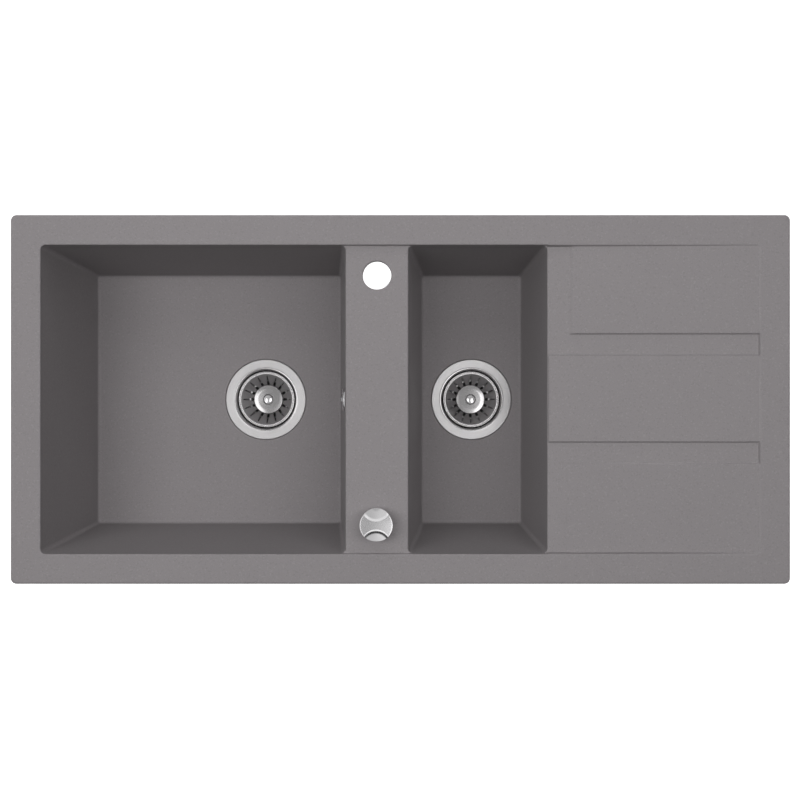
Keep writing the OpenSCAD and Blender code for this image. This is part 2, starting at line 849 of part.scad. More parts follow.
// Hub and ribs that hold the brass insert
module insert_carrier() {
    h = insert_h + insert_lid;
    difference() {
        translate([0, 0, insert_hub_z]) {
            cylinder(d = insert_hub_d, h = h);
            for (a = [45, 135]) {
                rotate([0, 0, a]) {
                    translate([-body_r - 1, -body_rib_t / 2, 0]) cube([2 * body_r + 2, body_rib_t, h]);
                }
            }
        }
        translate([0, 0, insert_z]) hexagon(insert_af, insert_h + eps);
        translate([0, 0, insert_hub_z - eps]) cylinder(d = screw_d + 2 * fit, h = h);
    }
}

module half_waste_body() color([0.16, 0.16, 0.17]) {
    on_waste(half_waste_x) {
        rotate_extrude() body_profile();
        insert_carrier();
    }
}

// The main body also takes the overflow's hose and the lift shaft
module main_waste_body() color([0.16, 0.16, 0.17]) {
    ring_seat_r = lift_shaft_d / 2 + run + 2 * gland_ring_r;
    on_waste(main_waste_x) {
        difference() {
            union() {
                rotate_extrude() body_profile();
                translate([0, 0, inlet_drop]) rotate([0, 90, 0]) cylinder(d = hose_d, h = inlet_reach);
                translate([finger_l, 0, shaft_z]) rotate([90, 0, 0]) cylinder(d = gland_boss_d, h = gland_boss_y);
            }
            body_inside();
            translate([0, 0, inlet_drop]) rotate([0, 90, 0]) cylinder(d = hose_bore, h = inlet_reach + eps);
            translate([finger_l, 0, shaft_z]) {
                rotate([90, 0, 0]) cylinder(d = lift_shaft_d + 2 * run, h = gland_boss_y + eps);
                translate([0, -gland_boss_y + 2 * gland_ring_r, 0]) {
                    rotate([90, 0, 0]) cylinder(r = ring_seat_r, h = 2 * gland_ring_r + eps);
                }
            }
        }
        insert_carrier();
    }
}

module main_strainer_cup() { on_waste(main_waste_x) strainer_cup(); }
module main_flange_seal() { on_waste(main_waste_x) flange_seal(); }
module main_body_gasket() { on_waste(main_waste_x) body_gasket(); }
module main_centre_screw() { on_waste(main_waste_x) centre_screw(); }
module main_insert_nut() { on_waste(main_waste_x) insert_nut(); }
module main_basket() { on_waste(main_waste_x) basket(); }
module main_basket_cap() { on_waste(main_waste_x) basket_cap(); }
module main_basket_button() { on_waste(main_waste_x) basket_button(); }
module main_basket_seal() { on_waste(main_waste_x) basket_seal(); }
module half_strainer_cup() { on_waste(half_waste_x) strainer_cup(); }
module half_flange_seal() { on_waste(half_waste_x) flange_seal(); }
module half_body_gasket() { on_waste(half_waste_x) body_gasket(); }
module half_centre_screw() { on_waste(half_waste_x) centre_screw(); }
module half_insert_nut() { on_waste(half_waste_x) insert_nut(); }
module half_basket() { on_waste(half_waste_x) basket(); }
module half_basket_cap() { on_waste(half_waste_x) basket_cap(); }
module half_basket_button() { on_waste(half_waste_x) basket_button(); }
module half_basket_seal() { on_waste(half_waste_x) basket_seal(); }

// Split stem that centres the lift-out basket in its screw
module half_basket_stem() color([0.75, 0.75, 0.76]) {
    stem_l = hub_z - screw_end_z - 2;
    tip = 1.2;
    on_waste(half_waste_x) {
        difference() {
            translate([0, 0, hub_z - stem_l]) {
                rotate_extrude() {
                    polygon([
                        [0, 0],
                        [pin_d / 2 - tip, 0],
                        [pin_d / 2, tip],
                        [pin_d / 2, stem_l],
                        [0, stem_l],
                    ]);
                }
            }
            translate([-0.6, -pin_d, hub_z - stem_l - eps]) cube([1.2, 2 * pin_d, stem_l * 0.7]);
        }
    }
}

// Lift mechanism

// Pin that pushes the main basket up through the hollow screw
module main_lift_pin() color([0.70, 0.70, 0.71]) {
    on_waste(main_waste_x) translate([0, 0, pin_end_z]) cylinder(d = pin_d, h = hub_z - pin_end_z);
}

// Moves to the lift shaft's axis, which runs along Y
module on_lift_shaft() {
    translate([main_waste_x + finger_l, 0, floor_z + shaft_z]) children();
}

// Shaft with the finger that reaches under the pin
module lift_shaft() color([0.68, 0.68, 0.70]) {
    finger_w = 5;
    hub_r = lift_shaft_d / 2 + 1.5;
    inner_end = finger_w / 2 + 1;
    on_lift_shaft() {
        rotate([90, 0, 0]) {
            translate([0, 0, -inner_end]) cylinder(d = lift_shaft_d, h = inner_end + crank_y + crank_t);
        }
        rotate([0, -lift_half_angle, 0]) {
            translate([0, finger_w / 2, 0]) {
                rotate([90, 0, 0]) {
                    cylinder(r = hub_r, h = finger_w);
                    translate([-finger_l, 0, 0]) cylinder(r = finger_r, h = finger_w);
                    translate([-finger_l, -finger_r + 0.5, 0]) cube([finger_l, 2 * finger_r - 1, finger_w]);
                }
            }
        }
    }
}

// Crank on the shaft's outer end, pulled by the cable
module lift_crank() color([0.66, 0.66, 0.68]) {
    hub_r = lift_shaft_d / 2 + 2.5;
    on_lift_shaft() {
        translate([0, -crank_y, 0]) {
            rotate([90, 0, 0]) {
                rotate([0, 0, lift_half_angle]) {
                    difference() {
                        linear_extrude(crank_t) {
                            circle(hub_r);
                            translate([0, crank_l]) circle(crank_eye_r);
                            translate([-crank_eye_r + 1, 0]) square([2 * crank_eye_r - 2, crank_l]);
                        }
                        translate([0, 0, -eps]) cylinder(d = lift_shaft_d + 2 * run, h = crank_t + 2 * eps);
                        translate([0, crank_l, -eps]) cylinder(d = wire_d, h = crank_t + 2 * eps);
                    }
                }
            }
        }
    }
}

module lift_gland_nut() color([0.20, 0.20, 0.21]) {
    on_lift_shaft() {
        translate([0, -gland_boss_y, 0]) {
            rotate([90, 0, 0]) ring(gland_nut_d, lift_shaft_d + 2 * run, gland_nut_h);
        }
    }
}

module lift_gland_ring() color([0.08, 0.08, 0.08]) {
    on_lift_shaft() {
        translate([0, -gland_boss_y + gland_ring_r, 0]) {
            rotate([90, 0, 0]) {
                rotate_extrude() translate([lift_shaft_d / 2 + run + gland_ring_r, 0]) circle(gland_ring_r);
            }
        }
    }
}

// Box round the crank, clipped on the boss, with the lug where the cable ends
module lift_cover() color([0.18, 0.18, 0.19]) {
    inside = cover_side - cover_t;
    top = crank_l + crank_eye_r + 2;
    on_lift_shaft() {
        difference() {
            union() {
                translate([-cover_side, -cover_y1, -cover_foot]) {
                    cube([2 * cover_side, cover_y1 - cover_y0, cover_foot + top + cover_t]);
                }
                translate([0, -crank_y - crank_t / 2, crank_l]) {
                    rotate([0, 90, 0]) cylinder(d = cable_d + 4, h = cover_reach);
                }
            }
            translate([-inside, -cover_y1 + cover_t, -cover_foot + cover_t]) {
                cube([2 * inside, cover_y1 - cover_y0 - 2 * cover_t, cover_foot - cover_t + top]);
            }
            translate([0, -crank_y - crank_t / 2, crank_l]) {
                rotate([0, 90, 0]) cylinder(d = wire_d, h = cover_reach + eps);
            }
            translate([0, -cover_y0 + eps, 0]) {
                rotate([90, 0, 0]) cylinder(d = gland_boss_d + 2 * fit, h = cover_t + 2 * eps);
            }
        }
    }
}

// Overflow

module overflow_rosette() color([0.82, 0.82, 0.83]) {
    edge = 1.2;
    slot = 3;
    spigot_l = 6;
    // Middle and half length of the slots on each side of the screw
    slots = [[5.1, 8.5], [10, 5]];
    on_overflow() {
        difference() {
            union() {
                rotate_extrude() {
                    polygon([
                        [0, 0],
                        [rosette_d / 2, 0],
                        [rosette_d / 2, rosette_t - 2 * edge],
                        [rosette_d / 2 - edge, rosette_t - edge / 2],
                        [rosette_d / 2 - 3 * edge, rosette_t],
                        [0, rosette_t],
                    ]);
                }
                translate([0, 0, -spigot_l]) {
                    ring(overflow_hole_d - 2 * fit, overflow_hole_d - 3, spigot_l + eps);
                    cylinder(d = post_d - 1, h = spigot_l + eps);
                }
            }
            for (s = [-1, 1]) {
                for (row = slots) {
                    translate([-row[1], s * row[0] - slot / 2, -spigot_l - eps]) {
                        cube([2 * row[1], slot, spigot_l + rosette_t + 2 * eps]);
                    }
                }
            }
            translate([0, 0, -spigot_l - eps]) {
                cylinder(d = overflow_screw_d + 2 * fit, h = spigot_l + rosette_t + 2 * eps);
            }
        }
    }
}

module overflow_screw() color([0.75, 0.75, 0.76]) {
    head_d = 6.6;
    head_h = 1.6;
    screw_l = 20;
    on_overflow() {
        difference() {
            union() {
                translate([0, 0, rosette_t]) cylinder(d = head_d, h = head_h);
                translate([0, 0, rosette_t - screw_l]) cylinder(d = overflow_screw_d, h = screw_l + eps);
            }
            translate([-head_d, -0.5, rosette_t + head_h - 0.8]) cube([2 * head_d, 1, 2]);
        }
    }
}

module overflow_gasket() color([0.10, 0.10, 0.10]) {
    on_overflow() translate([0, 0, elbow_face]) ring(elbow_flange_d, overflow_hole_d + 1, overflow_gasket_t);
}

// Moulded chamber behind the wall, with its post for the screw and a spigot down to the hose
module overflow_elbow() color([0.16, 0.16, 0.17]) {
    chamber_l = elbow_flange_t + elbow_l;
    difference() {
        union() {
            on_overflow() {
                translate([0, 0, elbow_face - elbow_flange_t]) cylinder(d = elbow_flange_d, h = elbow_flange_t);
                translate([0, 0, elbow_back]) cylinder(r = elbow_r, h = chamber_l);
            }
            translate([hose_x, 0, spigot_end_z]) cylinder(d = hose_d, h = overflow_z - spigot_end_z);
        }
        on_overflow() {
            translate([0, 0, elbow_back + elbow_wall]) {
                cylinder(d = overflow_hole_d, h = chamber_l - elbow_wall + eps);
            }
        }
        translate([hose_x, 0, spigot_end_z - eps]) cylinder(d = hose_bore, h = overflow_z - spigot_end_z + eps);
    }
    on_overflow() {
        translate([0, 0, elbow_back + 1]) {
            difference() {
                cylinder(d = post_d, h = chamber_l - 4);
                cylinder(d = overflow_screw_d + 2 * fit, h = chamber_l);
            }
        }
    }
}

// Middle line of the hose at a distance along it: straight, round the bend, straight up
function hose_point(s) =
    s < hose_run ? [inlet_x + s, 0, inlet_z] :
    s < hose_run + hose_arc ?
        let (a = (s - hose_run) / hose_bend_r * 180 / PI)
        [hose_bend_x + hose_bend_r * sin(a), 0, hose_bend_z - hose_bend_r * cos(a)] :
    [hose_x, 0, hose_bend_z + s - hose_run - hose_arc];

// Corrugated hose: its radius steps between crest and root at every half pitch
module overflow_hose() color([0.62, 0.62, 0.63]) {
    steps = hose_rings;
    path = [for (i = [0:steps]) hose_point(hose_l * i / steps)];
    radii = [for (i = [0:steps]) i % 2 == 0 ? hose_d / 2 : hose_d / 2 - rib_depth];
    pipe(path, radii, hose_bore / 2, 12, [0, 1, 0]);
}

// The two nuts that hold the hose's ends on their spigots
module overflow_hose_nuts() color([0.14, 0.14, 0.15]) {
    nut_d = hose_d + 2 * fit + 2 * hose_nut_wall;
    translate([inlet_x - nut_overlap, 0, inlet_z]) rotate([0, 90, 0]) ring(nut_d, hose_d + 2 * fit, hose_nut_l);
    translate([hose_x, 0, spigot_end_z - nut_overlap]) ring(nut_d, hose_d + 2 * fit, hose_nut_l);
}

// Control, drawn round its axis with the bridge's top at z = 0

module on_control() {
    translate([bridge_x, -control_y, deck_z]) children();
}

seal_groove_d = 37;
seal_groove_t = 1;
grub_d = 3;
grub_z = base_h + knob_gap + 2.6;
scoop_z = base_h + knob_gap + knob_h + scoop_r / tan(scoop_lean);

// Round knob whose two finger scoops leave a waisted ridge
module control_knob() color([0.80, 0.80, 0.81]) {
    on_control() {
        difference() {
            translate([0, 0, base_h + knob_gap]) {
                rotate_extrude() {
                    difference() {
                        square([knob_d / 2, knob_h]);
                        translate([knob_d / 2 - knob_edge_r, knob_h - knob_edge_r]) {
                            difference() {
                                square(knob_edge_r + 1);
                                circle(knob_edge_r);
                            }
                        }
                    }
                }
            }
            for (s = [-1, 1]) {
                translate([0, s * (scoop_r + knob_waist / 2), scoop_z]) {
                    sphere(scoop_r / sin(scoop_lean), $fn = 128);
                }
            }
            cylinder(d = spindle_d + 2 * fit, h = spindle_top + 0.5);
            translate([0, 0, grub_z]) rotate([90, 0, 0]) cylinder(d = grub_d + 2 * fit, h = knob_d);
        }
    }
}

module control_grub_screw() color([0.55, 0.55, 0.56]) {
    grub_l = 11;
    on_control() {
        translate([0, -spindle_d / 2 - run, grub_z]) {
            rotate([90, 0, 0]) {
                difference() {
                    cylinder(d = grub_d, h = grub_l);
                    translate([0, 0, grub_l - 1.5]) hexagon(1.5, 3);
                }
            }
        }
    }
}

// Chromed base with the threaded shank that passes through the bridge
module control_base() color([0.78, 0.78, 0.79]) {
    edge = 0.8;
    on_control() {
        difference() {
            rotate_extrude() {
                polygon([
                    [spindle_d / 2 + run, shank_z],
                    [shank_d / 2, shank_z],
                    [shank_d / 2, seal_groove_t],
                    [seal_groove_d / 2, seal_groove_t],
                    [seal_groove_d / 2, 0],
                    [base_d / 2, 0],
                    [base_d / 2, base_h - edge],
                    [base_d / 2 - edge, base_h],
                    [spindle_d / 2 + run, base_h],
                ]);
            }
        }
    }
}

module control_base_seal() color([0.08, 0.08, 0.08]) {
    on_control() ring(seal_groove_d - 2 * fit, shank_d + 2 * fit, seal_groove_t);
}

module control_spindle() color([0.70, 0.70, 0.71]) {
    on_control() translate([0, 0, drum_z]) cylinder(d = spindle_d, h = spindle_top - drum_z);
}

// Grooved drum that winds the cable's wire
module control_drum() color([0.85, 0.84, 0.80]) {
    cheek = 2;
    cheek_r = drum_r + 3.5;
    bore_r = spindle_d / 2 + run;
    on_control() {
        translate([0, 0, drum_z]) {
            rotate_extrude() {
                polygon([
                    [bore_r, 0],
                    [cheek_r, 0],
                    [cheek_r, cheek],
                    [drum_r, cheek + 0.5],
                    [drum_r, drum_h - cheek - 0.5],
                    [cheek_r, drum_h - cheek],
                    [cheek_r, drum_h],
                    [bore_r, drum_h],
                ]);
            }
        }
    }
}

module control_washer() color([0.09, 0.09, 0.09]) {
    on_control() translate([0, 0, -deck_t - washer_t]) ring(nut_af + 6, shank_d + 2 * fit, washer_t);
}

module control_nut() color([0.72, 0.60, 0.32]) {
    on_control() {
        translate([0, 0, -deck_t - washer_t - nut_t]) {
            difference() {
                hexagon(nut_af, nut_t);
                translate([0, 0, -eps]) cylinder(d = shank_d + 2 * fit, h = nut_t + 2 * eps);
            }
        }
    }
}

// Cup round the drum, clipped on the shank, with the lug where the cable starts
module control_housing() color([0.18, 0.18, 0.19]) {
    grip = 10;
    cup_h = shank_z + grip - housing_z;
    lug_z = drum_z + drum_h / 2;
    on_control() {
        difference() {
            union() {
                translate([0, 0, housing_z]) cylinder(d = housing_d, h = cup_h);
                translate([-drum_r, 0, lug_z]) {
                    rotate([-90, 0, 0]) cylinder(d = cable_d + 3, h = housing_d / 2 + cable_lug_l);
                }
            }
            translate([0, 0, housing_z + cover_t]) cylinder(d = shank_d + 2 * fit, h = cup_h);
            translate([-drum_r, 0, lug_z]) {
                rotate([-90, 0, 0]) cylinder(d = wire_d, h = housing_d / 2 + cable_lug_l + eps);
            }
        }
    }
}

module control_cable() color([0.07, 0.07, 0.07]) {
    cord(curve(cable_points, cable_steps), cable_d / 2, 8, [1, 1, 0]);
}

sink_body();
main_strainer_cup();
main_flange_seal();
main_waste_body();
main_body_gasket();
main_centre_screw();
main_insert_nut();
main_basket();
main_basket_cap();
main_basket_button();
main_basket_seal();
main_lift_pin();
lift_shaft();
lift_crank();
lift_gland_nut();
lift_gland_ring();
lift_cover();
half_strainer_cup();
half_flange_seal();
half_waste_body();
half_body_gasket();
half_centre_screw();
half_insert_nut();
half_basket();
half_basket_cap();
half_basket_button();
half_basket_seal();
half_basket_stem();
overflow_rosette();
overflow_screw();
overflow_gasket();
overflow_elbow();
overflow_hose();
overflow_hose_nuts();
control_knob();
control_grub_screw();
control_base();
control_base_seal();
control_spindle();
control_drum();
control_washer();
control_nut();
control_housing();
control_cable();
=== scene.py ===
"""Looks of a one and a half bowl sink: composite body, steel wastes, chrome control and the fittings below.

Shapes are worked out in millimetres, in the part's own frame, and written to the meshes in metres.
"""

import math

import bpy
import numpy as np
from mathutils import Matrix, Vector


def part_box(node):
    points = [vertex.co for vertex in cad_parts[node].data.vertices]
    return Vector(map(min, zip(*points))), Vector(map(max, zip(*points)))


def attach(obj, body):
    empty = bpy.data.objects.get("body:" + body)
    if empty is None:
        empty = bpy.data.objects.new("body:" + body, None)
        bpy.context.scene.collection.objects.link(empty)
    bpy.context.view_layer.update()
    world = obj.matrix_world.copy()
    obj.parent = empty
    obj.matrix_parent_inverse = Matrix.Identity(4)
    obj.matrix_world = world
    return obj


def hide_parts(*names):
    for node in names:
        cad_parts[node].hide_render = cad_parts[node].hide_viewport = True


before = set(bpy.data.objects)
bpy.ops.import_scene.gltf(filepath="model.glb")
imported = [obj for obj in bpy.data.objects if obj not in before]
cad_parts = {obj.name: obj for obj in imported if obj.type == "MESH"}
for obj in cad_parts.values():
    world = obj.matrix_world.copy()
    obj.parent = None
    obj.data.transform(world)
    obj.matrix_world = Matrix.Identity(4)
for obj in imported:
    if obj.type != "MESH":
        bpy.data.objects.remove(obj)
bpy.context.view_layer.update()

MM = 0.001


def box_mm(node):
    """Lowest and highest corner of a CAD node, in millimetres."""
    low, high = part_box(node)
    return np.array(low) / MM, np.array(high) / MM


def middle_mm(node):
    """Middle of a CAD node's box, in millimetres."""
    low, high = box_mm(node)
    return (low + high) / 2


# Sizes of the sink body: the part's own, apart from the finer roundings FOOT_R and LIP_R
rim_high = box_mm("sink_body")[1]
RIM_L, RIM_W = rim_high[0] * 2, rim_high[1] * 2
RIM_H = rim_high[2]
BORDER = 37
CORNER_R = 7
EDGE_R = 3.5
RECESS_R = 6
DECK_DROP = 6
DECK_T = 11
SKIRT_INSET = 16
MAIN_L = 371
HALF_L = 170
BRIDGE_W = 76.5
BOWL_DEPTH = 190
FLOOR_T = 10
WALL_T = 8
BOWL_R = 6
END_LEAN = 13
BRIDGE_LEAN = 18
SIDE_LEAN = 15
FOOT_R = 5
LIP_R = 1.6

# Levels and lines that follow from them
DECK_Z = RIM_H - DECK_DROP
DECK_UNDER_Z = DECK_Z - DECK_T
FLOOR_Z = DECK_Z - BOWL_DEPTH
OPEN_X = RIM_L / 2 - BORDER
OPEN_Y = RIM_W / 2 - BORDER
MAIN_X = (-OPEN_X, -OPEN_X + MAIN_L)
HALF_X = (MAIN_X[1] + BRIDGE_W, MAIN_X[1] + BRIDGE_W + HALF_L)
DRAINER_X = (HALF_X[1], OPEN_X)
BRIDGE_X = (MAIN_X[1] + HALF_X[0]) / 2

# Drainer relief: the part's own sizes, apart from the front panel's fall and drop and the soft edges.
# PANEL_EDGE and PANEL_END are half the widths of the panels' soft long edges and ends.
RISE = 3
PANEL_H = 2.5
BACK_MARGIN = 28.5
FRONT_MARGIN = 26
BACK_PANEL_W = 108
MIDDLE_PANEL_W = 106
CHANNEL_W = 26
BACK_Y = OPEN_Y - BACK_PANEL_W
MIDDLE_Y = (BACK_Y - CHANNEL_W - MIDDLE_PANEL_W, BACK_Y - CHANNEL_W)
FRONT_Y = MIDDLE_Y[0] - CHANNEL_W
FRONT_FALL = 3.5
FRONT_DROP = 0.4
PANEL_EDGE = 1.3
PANEL_END = 3.2

# Slanted foot of the drainer's walls: its width, the share of it lost along the back to the right, and how
# far below the rim it ends
WALL_FOOT = 1.6
BACK_FOOT_LOSS = 0.6
FOOT_END = 0.15

# Axes of the wastes and the control, and the holes
WASTES = {key: middle_mm(f"{key}_strainer_cup")[0] for key in ("main", "half")}
WASTE_HOLE_R = 45
REBATE_R = 56.5
REBATE_T = 1.6
CONTROL_Y = middle_mm("control_base")[1]
TAP_INSET = 73
TAP_Y = RIM_W / 2 - TAP_INSET
TAP_HOLE_R = 17.5

# Overflow in the leaning wall beside the bridge
OVERFLOW_R = 12
OVERFLOW_DROP = 41
OVERFLOW_TILT = math.atan2(BRIDGE_LEAN, BOWL_DEPTH)
OVERFLOW_AT = (MAIN_X[1] - OVERFLOW_DROP * math.tan(OVERFLOW_TILT), 0, DECK_Z - OVERFLOW_DROP)

ROUND_STEPS = 96


# Surfaces

def rounded(corners, steps):
    """Polygon of corners (x, y, radius), each replaced by a quadratic curve.

    For a corner B with cuts A and C at the radius along its two edges, but at most a share of the shorter
    edge, the curve is (1-t)^2 A + 2t(1-t) B + t^2 C for t from 0 to 1.
    """
    share = 0.48
    corners = np.asarray(corners, float)
    points, radii = corners[:, :2], corners[:, 2]
    before = np.roll(points, 1, axis=0) - points
    after = np.roll(points, -1, axis=0) - points
    before_l = np.linalg.norm(before, axis=1)
    after_l = np.linalg.norm(after, axis=1)
    cut = np.minimum(radii, share * np.minimum(before_l, after_l))
    start = points + before / before_l[:, None] * cut[:, None]
    end = points + after / after_l[:, None] * cut[:, None]
    t = np.linspace(0, 1, steps + 1)[None, :, None]
    curve = (1 - t) ** 2 * start[:, None] + 2 * t * (1 - t) * points[:, None] + t**2 * end[:, None]
    return curve.reshape(-1, 2)


def skin(rings, wrap=False):
    """Quads between neighbouring rings of an array (rings, points, 3).

    Quad k of band i joins points k and k+1 of rings i and i+1. With wrap the last ring joins the first;
    without it, one flat face closes each end.
    """
    count, around = rings.shape[:2]
    index = np.arange(count * around).reshape(count, around)
    if wrap:
        low, high = index, np.roll(index, -1, axis=0)
    else:
        low, high = index[:-1], index[1:]
    quads = np.stack([low, np.roll(low, -1, axis=1), np.roll(high, -1, axis=1), high], axis=-1)
    faces = quads.reshape(-1, 4).tolist()
    if not wrap:
        faces += [index[0, ::-1].tolist(), index[-1].tolist()]
    return rings.reshape(-1, 3), faces


def together(surfaces):
    """One surface of several: all their points, and their faces counted on from the points before them."""
    starts = np.cumsum([0] + [len(points) for points, _ in surfaces])
    faces = [(np.array(face) + start).tolist() for start, (_, own) in zip(starts, surfaces) for face in own]
    return np.concatenate([points for points, _ in surfaces]), faces


def outline(x0, x1, y0, y1, r, z, steps=6):
    """Ring at height z of a rectangle with quarter circles as corners: corner centre + r (cos a, sin a)."""
    least_r = 0.05
    r = max(r, least_r)
    quarters = np.linspace(0, np.pi / 2, steps + 1)
    a = np.concatenate([quarters + k * np.pi / 2 for k in range(4)])
    side_x = np.repeat([x1 - r, x0 + r, x0 + r, x1 - r], steps + 1)
    side_y = np.repeat([y1 - r, y1 - r, y0 + r, y0 + r], steps + 1)
    return np.stack([side_x + r * np.cos(a), side_y + r * np.sin(a), np.full(len(a), float(z))], axis=1)


def turned(profile, centre=(0, 0, 0), steps=ROUND_STEPS, wrap=False):
    """Profile of (radius, height) points carried round the upright axis: (r cos a, r sin a, z) + centre."""
    least_r = 0.01
    profile = np.asarray(profile, float)
    a = np.linspace(0, 2 * np.pi, steps, endpoint=False)
    r, z = np.maximum(profile[:, :1], least_r), profile[:, 1:]
    rings = np.stack([r * np.cos(a), r * np.sin(a), z + 0 * a], axis=-1)
    return skin(rings + np.asarray(centre, float), wrap)


def swept(path, side, radii, steps):
    """Circle carried along a path: path + radius (cos a * u + sin a * w).

    u is square to the path and to the given side direction, and w is square to both.
    """
    along = np.gradient(path, axis=0)
    along /= np.linalg.norm(along, axis=1)[:, None]
    u = np.cross(along, side)
    u /= np.linalg.norm(u, axis=1)[:, None]
    w = np.cross(along, u)
    a = np.linspace(0, 2 * np.pi, steps, endpoint=False)[None, :, None]
    radii = np.broadcast_to(np.asarray(radii, float), (len(path),))[:, None, None]
    return path[:, None] + radii * (np.cos(a) * u[:, None] + np.sin(a) * w[:, None])


def new_object(name, surface):
    """Mesh object at the origin from (points in mm, faces)."""
    points, faces = surface
    mesh = bpy.data.meshes.new(name)
    mesh.from_pydata((np.asarray(points) * MM).tolist(), [], faces)
    mesh.update()
    made = bpy.data.objects.new(name, mesh)
    bpy.context.scene.collection.objects.link(made)
    return made


def apply_modifiers(piece):
    """Gives a piece the mesh that its modifiers make, and clears them."""
    graph = bpy.context.evaluated_depsgraph_get()
    mesh = bpy.data.meshes.new_from_object(piece.evaluated_get(graph))
    piece.modifiers.clear()
    piece.data = mesh


def carve(base, tool, operation="DIFFERENCE"):
    """Cuts a closed tool out of the base, or joins it on, and takes the tool away."""
    step = base.modifiers.new("carve", "BOOLEAN")
    step.operation = operation
    step.solver = "EXACT"
    step.object = tool
    apply_modifiers(base)
    bpy.data.objects.remove(tool)


def cut_round(base, profile, centre, steps=ROUND_STEPS):
    """Cuts a turned shape out of the base."""
    carve(base, new_object("cutter", turned(profile, centre, steps)))


def at_overflow(piece):
    """Turns a mesh drawn round the upright axis square to the leaning wall, and moves it to the overflow.

    With a turn a about Y, x becomes x cos a + z sin a and z becomes z cos a - x sin a.
    """
    a = OVERFLOW_TILT - math.pi / 2
    turn = np.array([[math.cos(a), 0, math.sin(a)], [0, 1, 0], [-math.sin(a), 0, math.cos(a)]])
    points = np.empty(len(piece.data.vertices) * 3)
    piece.data.vertices.foreach_get("co", points)
    moved = points.reshape(-1, 3) @ turn.T + np.array(OVERFLOW_AT) * MM
    piece.data.vertices.foreach_set("co", moved.ravel())
    piece.data.update()
    return piece


def finish_piece(piece, body, material, nodes, sharp=32):
    """Shades a piece smooth up to an angle, with its normals weighted by area, and gives it its material.

    The piece rides on a body, and stands for CAD nodes.
    """
    piece.data.shade_smooth()
    piece.data.set_sharp_from_angle(angle=math.radians(sharp))
    weigh = piece.modifiers.new("weigh", "WEIGHTED_NORMAL")
    weigh.keep_sharp = True
    apply_modifiers(piece)
    piece.data.materials.clear()
    piece.data.materials.append(material)
    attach(piece, body)
    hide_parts(*nodes)


# Shader maths

class Number:
    """A number in a node tree; the operators add Math nodes."""

    def __init__(self, nodes, socket):
        self.nodes = nodes
        self.socket = socket

    def maths(self, operation, *values):
        """Result of a Math node on the values."""
        return self.nodes.node("ShaderNodeMath", {"operation": operation}, dict(enumerate(values)))

    def __add__(self, other):
        return self.maths("ADD", self, other)

    def __sub__(self, other):
        return self.maths("SUBTRACT", self, other)

    def __rsub__(self, other):
        return self.maths("SUBTRACT", other, self)

    def __mul__(self, other):
        return self.maths("MULTIPLY", self, other)

    def __truediv__(self, other):
        return self.maths("DIVIDE", self, other)

    def __rtruediv__(self, other):
        return self.maths("DIVIDE", other, self)

    __radd__ = __add__
    __rmul__ = __mul__

    def step(self, low, high):
        """0 below low, 1 above high, smooth between."""
        settings = {"interpolation_type": "SMOOTHSTEP"}
        sockets = {"Value": self, "From Min": low, "From Max": high}
        return self.nodes.node("ShaderNodeMapRange", settings, sockets)

    def band(self, rise, fall):
        """1 between two soft edges, each a pair (from, to), and 0 outside."""
        return self.step(*rise) * (1 - self.step(*fall))


class NodeTree:
    """Adds nodes to a tree."""

    def __init__(self, tree):
        self.tree = tree

    def node(self, kind, settings, sockets, out=0):
        """Adds a node: its settings first, then the values or links of its sockets."""
        made = self.tree.nodes.new(kind)
        for key, value in settings.items():
            setattr(made, key, value)
        for key, value in sockets.items():
            if isinstance(value, Number):
                self.tree.links.new(value.socket, made.inputs[key])
            else:
                made.inputs[key].default_value = value
        return Number(self, made.outputs[out])


class Finish(NodeTree):
    """One material: a node tree ending in a Principled shader."""

    def __init__(self, name, **constants):
        self.material = bpy.data.materials.new(name)
        self.material.use_nodes = True
        super().__init__(self.material.node_tree)
        self.shader = self.tree.nodes["Principled BSDF"]
        for socket, value in constants.items():
            self.shader.inputs[socket.replace("_", " ")].default_value = value
        self.place = self.node("ShaderNodeTexCoord", {}, {}, "Object")

    def noise(self, scale, detail, roughness=0.5):
        """Noise over the object, mostly between 0.25 and 0.75."""
        sockets = {"Vector": self.place, "Scale": scale, "Detail": detail, "Roughness": roughness}
        return self.node("ShaderNodeTexNoise", {}, sockets)

    def blend(self, factor, first, second):
        """Colour between two colours, which are the Mix node's sockets 6 and 7 and its output 2."""
        settings = {"data_type": "RGBA"}
        return self.node("ShaderNodeMix", settings, {0: factor, 6: first, 7: second}, 2)

    def stretched(self, centre, scale):
        """Object coordinates moved to a centre and scaled."""
        moved = self.node("ShaderNodeVectorMath", {"operation": "SUBTRACT"}, {0: self.place, 1: centre})
        return self.node("ShaderNodeVectorMath", {"operation": "MULTIPLY"}, {0: moved, 1: scale})

    def bump(self, height, strength, distance):
        """Normal tilted by a height, which the distance in metres multiplies."""
        sockets = {"Height": height, "Strength": strength, "Distance": distance}
        return self.node("ShaderNodeBump", {}, sockets)

    def feed(self, **links):
        """Links values to the shader's sockets and gives the material."""
        for socket, value in links.items():
            self.tree.links.new(value.socket, self.shader.inputs[socket.replace("_", " ")])
        return self.material


def grey(value, warmth=1.0):
    """Warm grey: red is lifted most and blue a little, and green is lowered as much as blue is lifted."""
    lifts = (0.055, -0.012, 0.012)
    return (*(value * (1 + lift * warmth) for lift in lifts), 1)


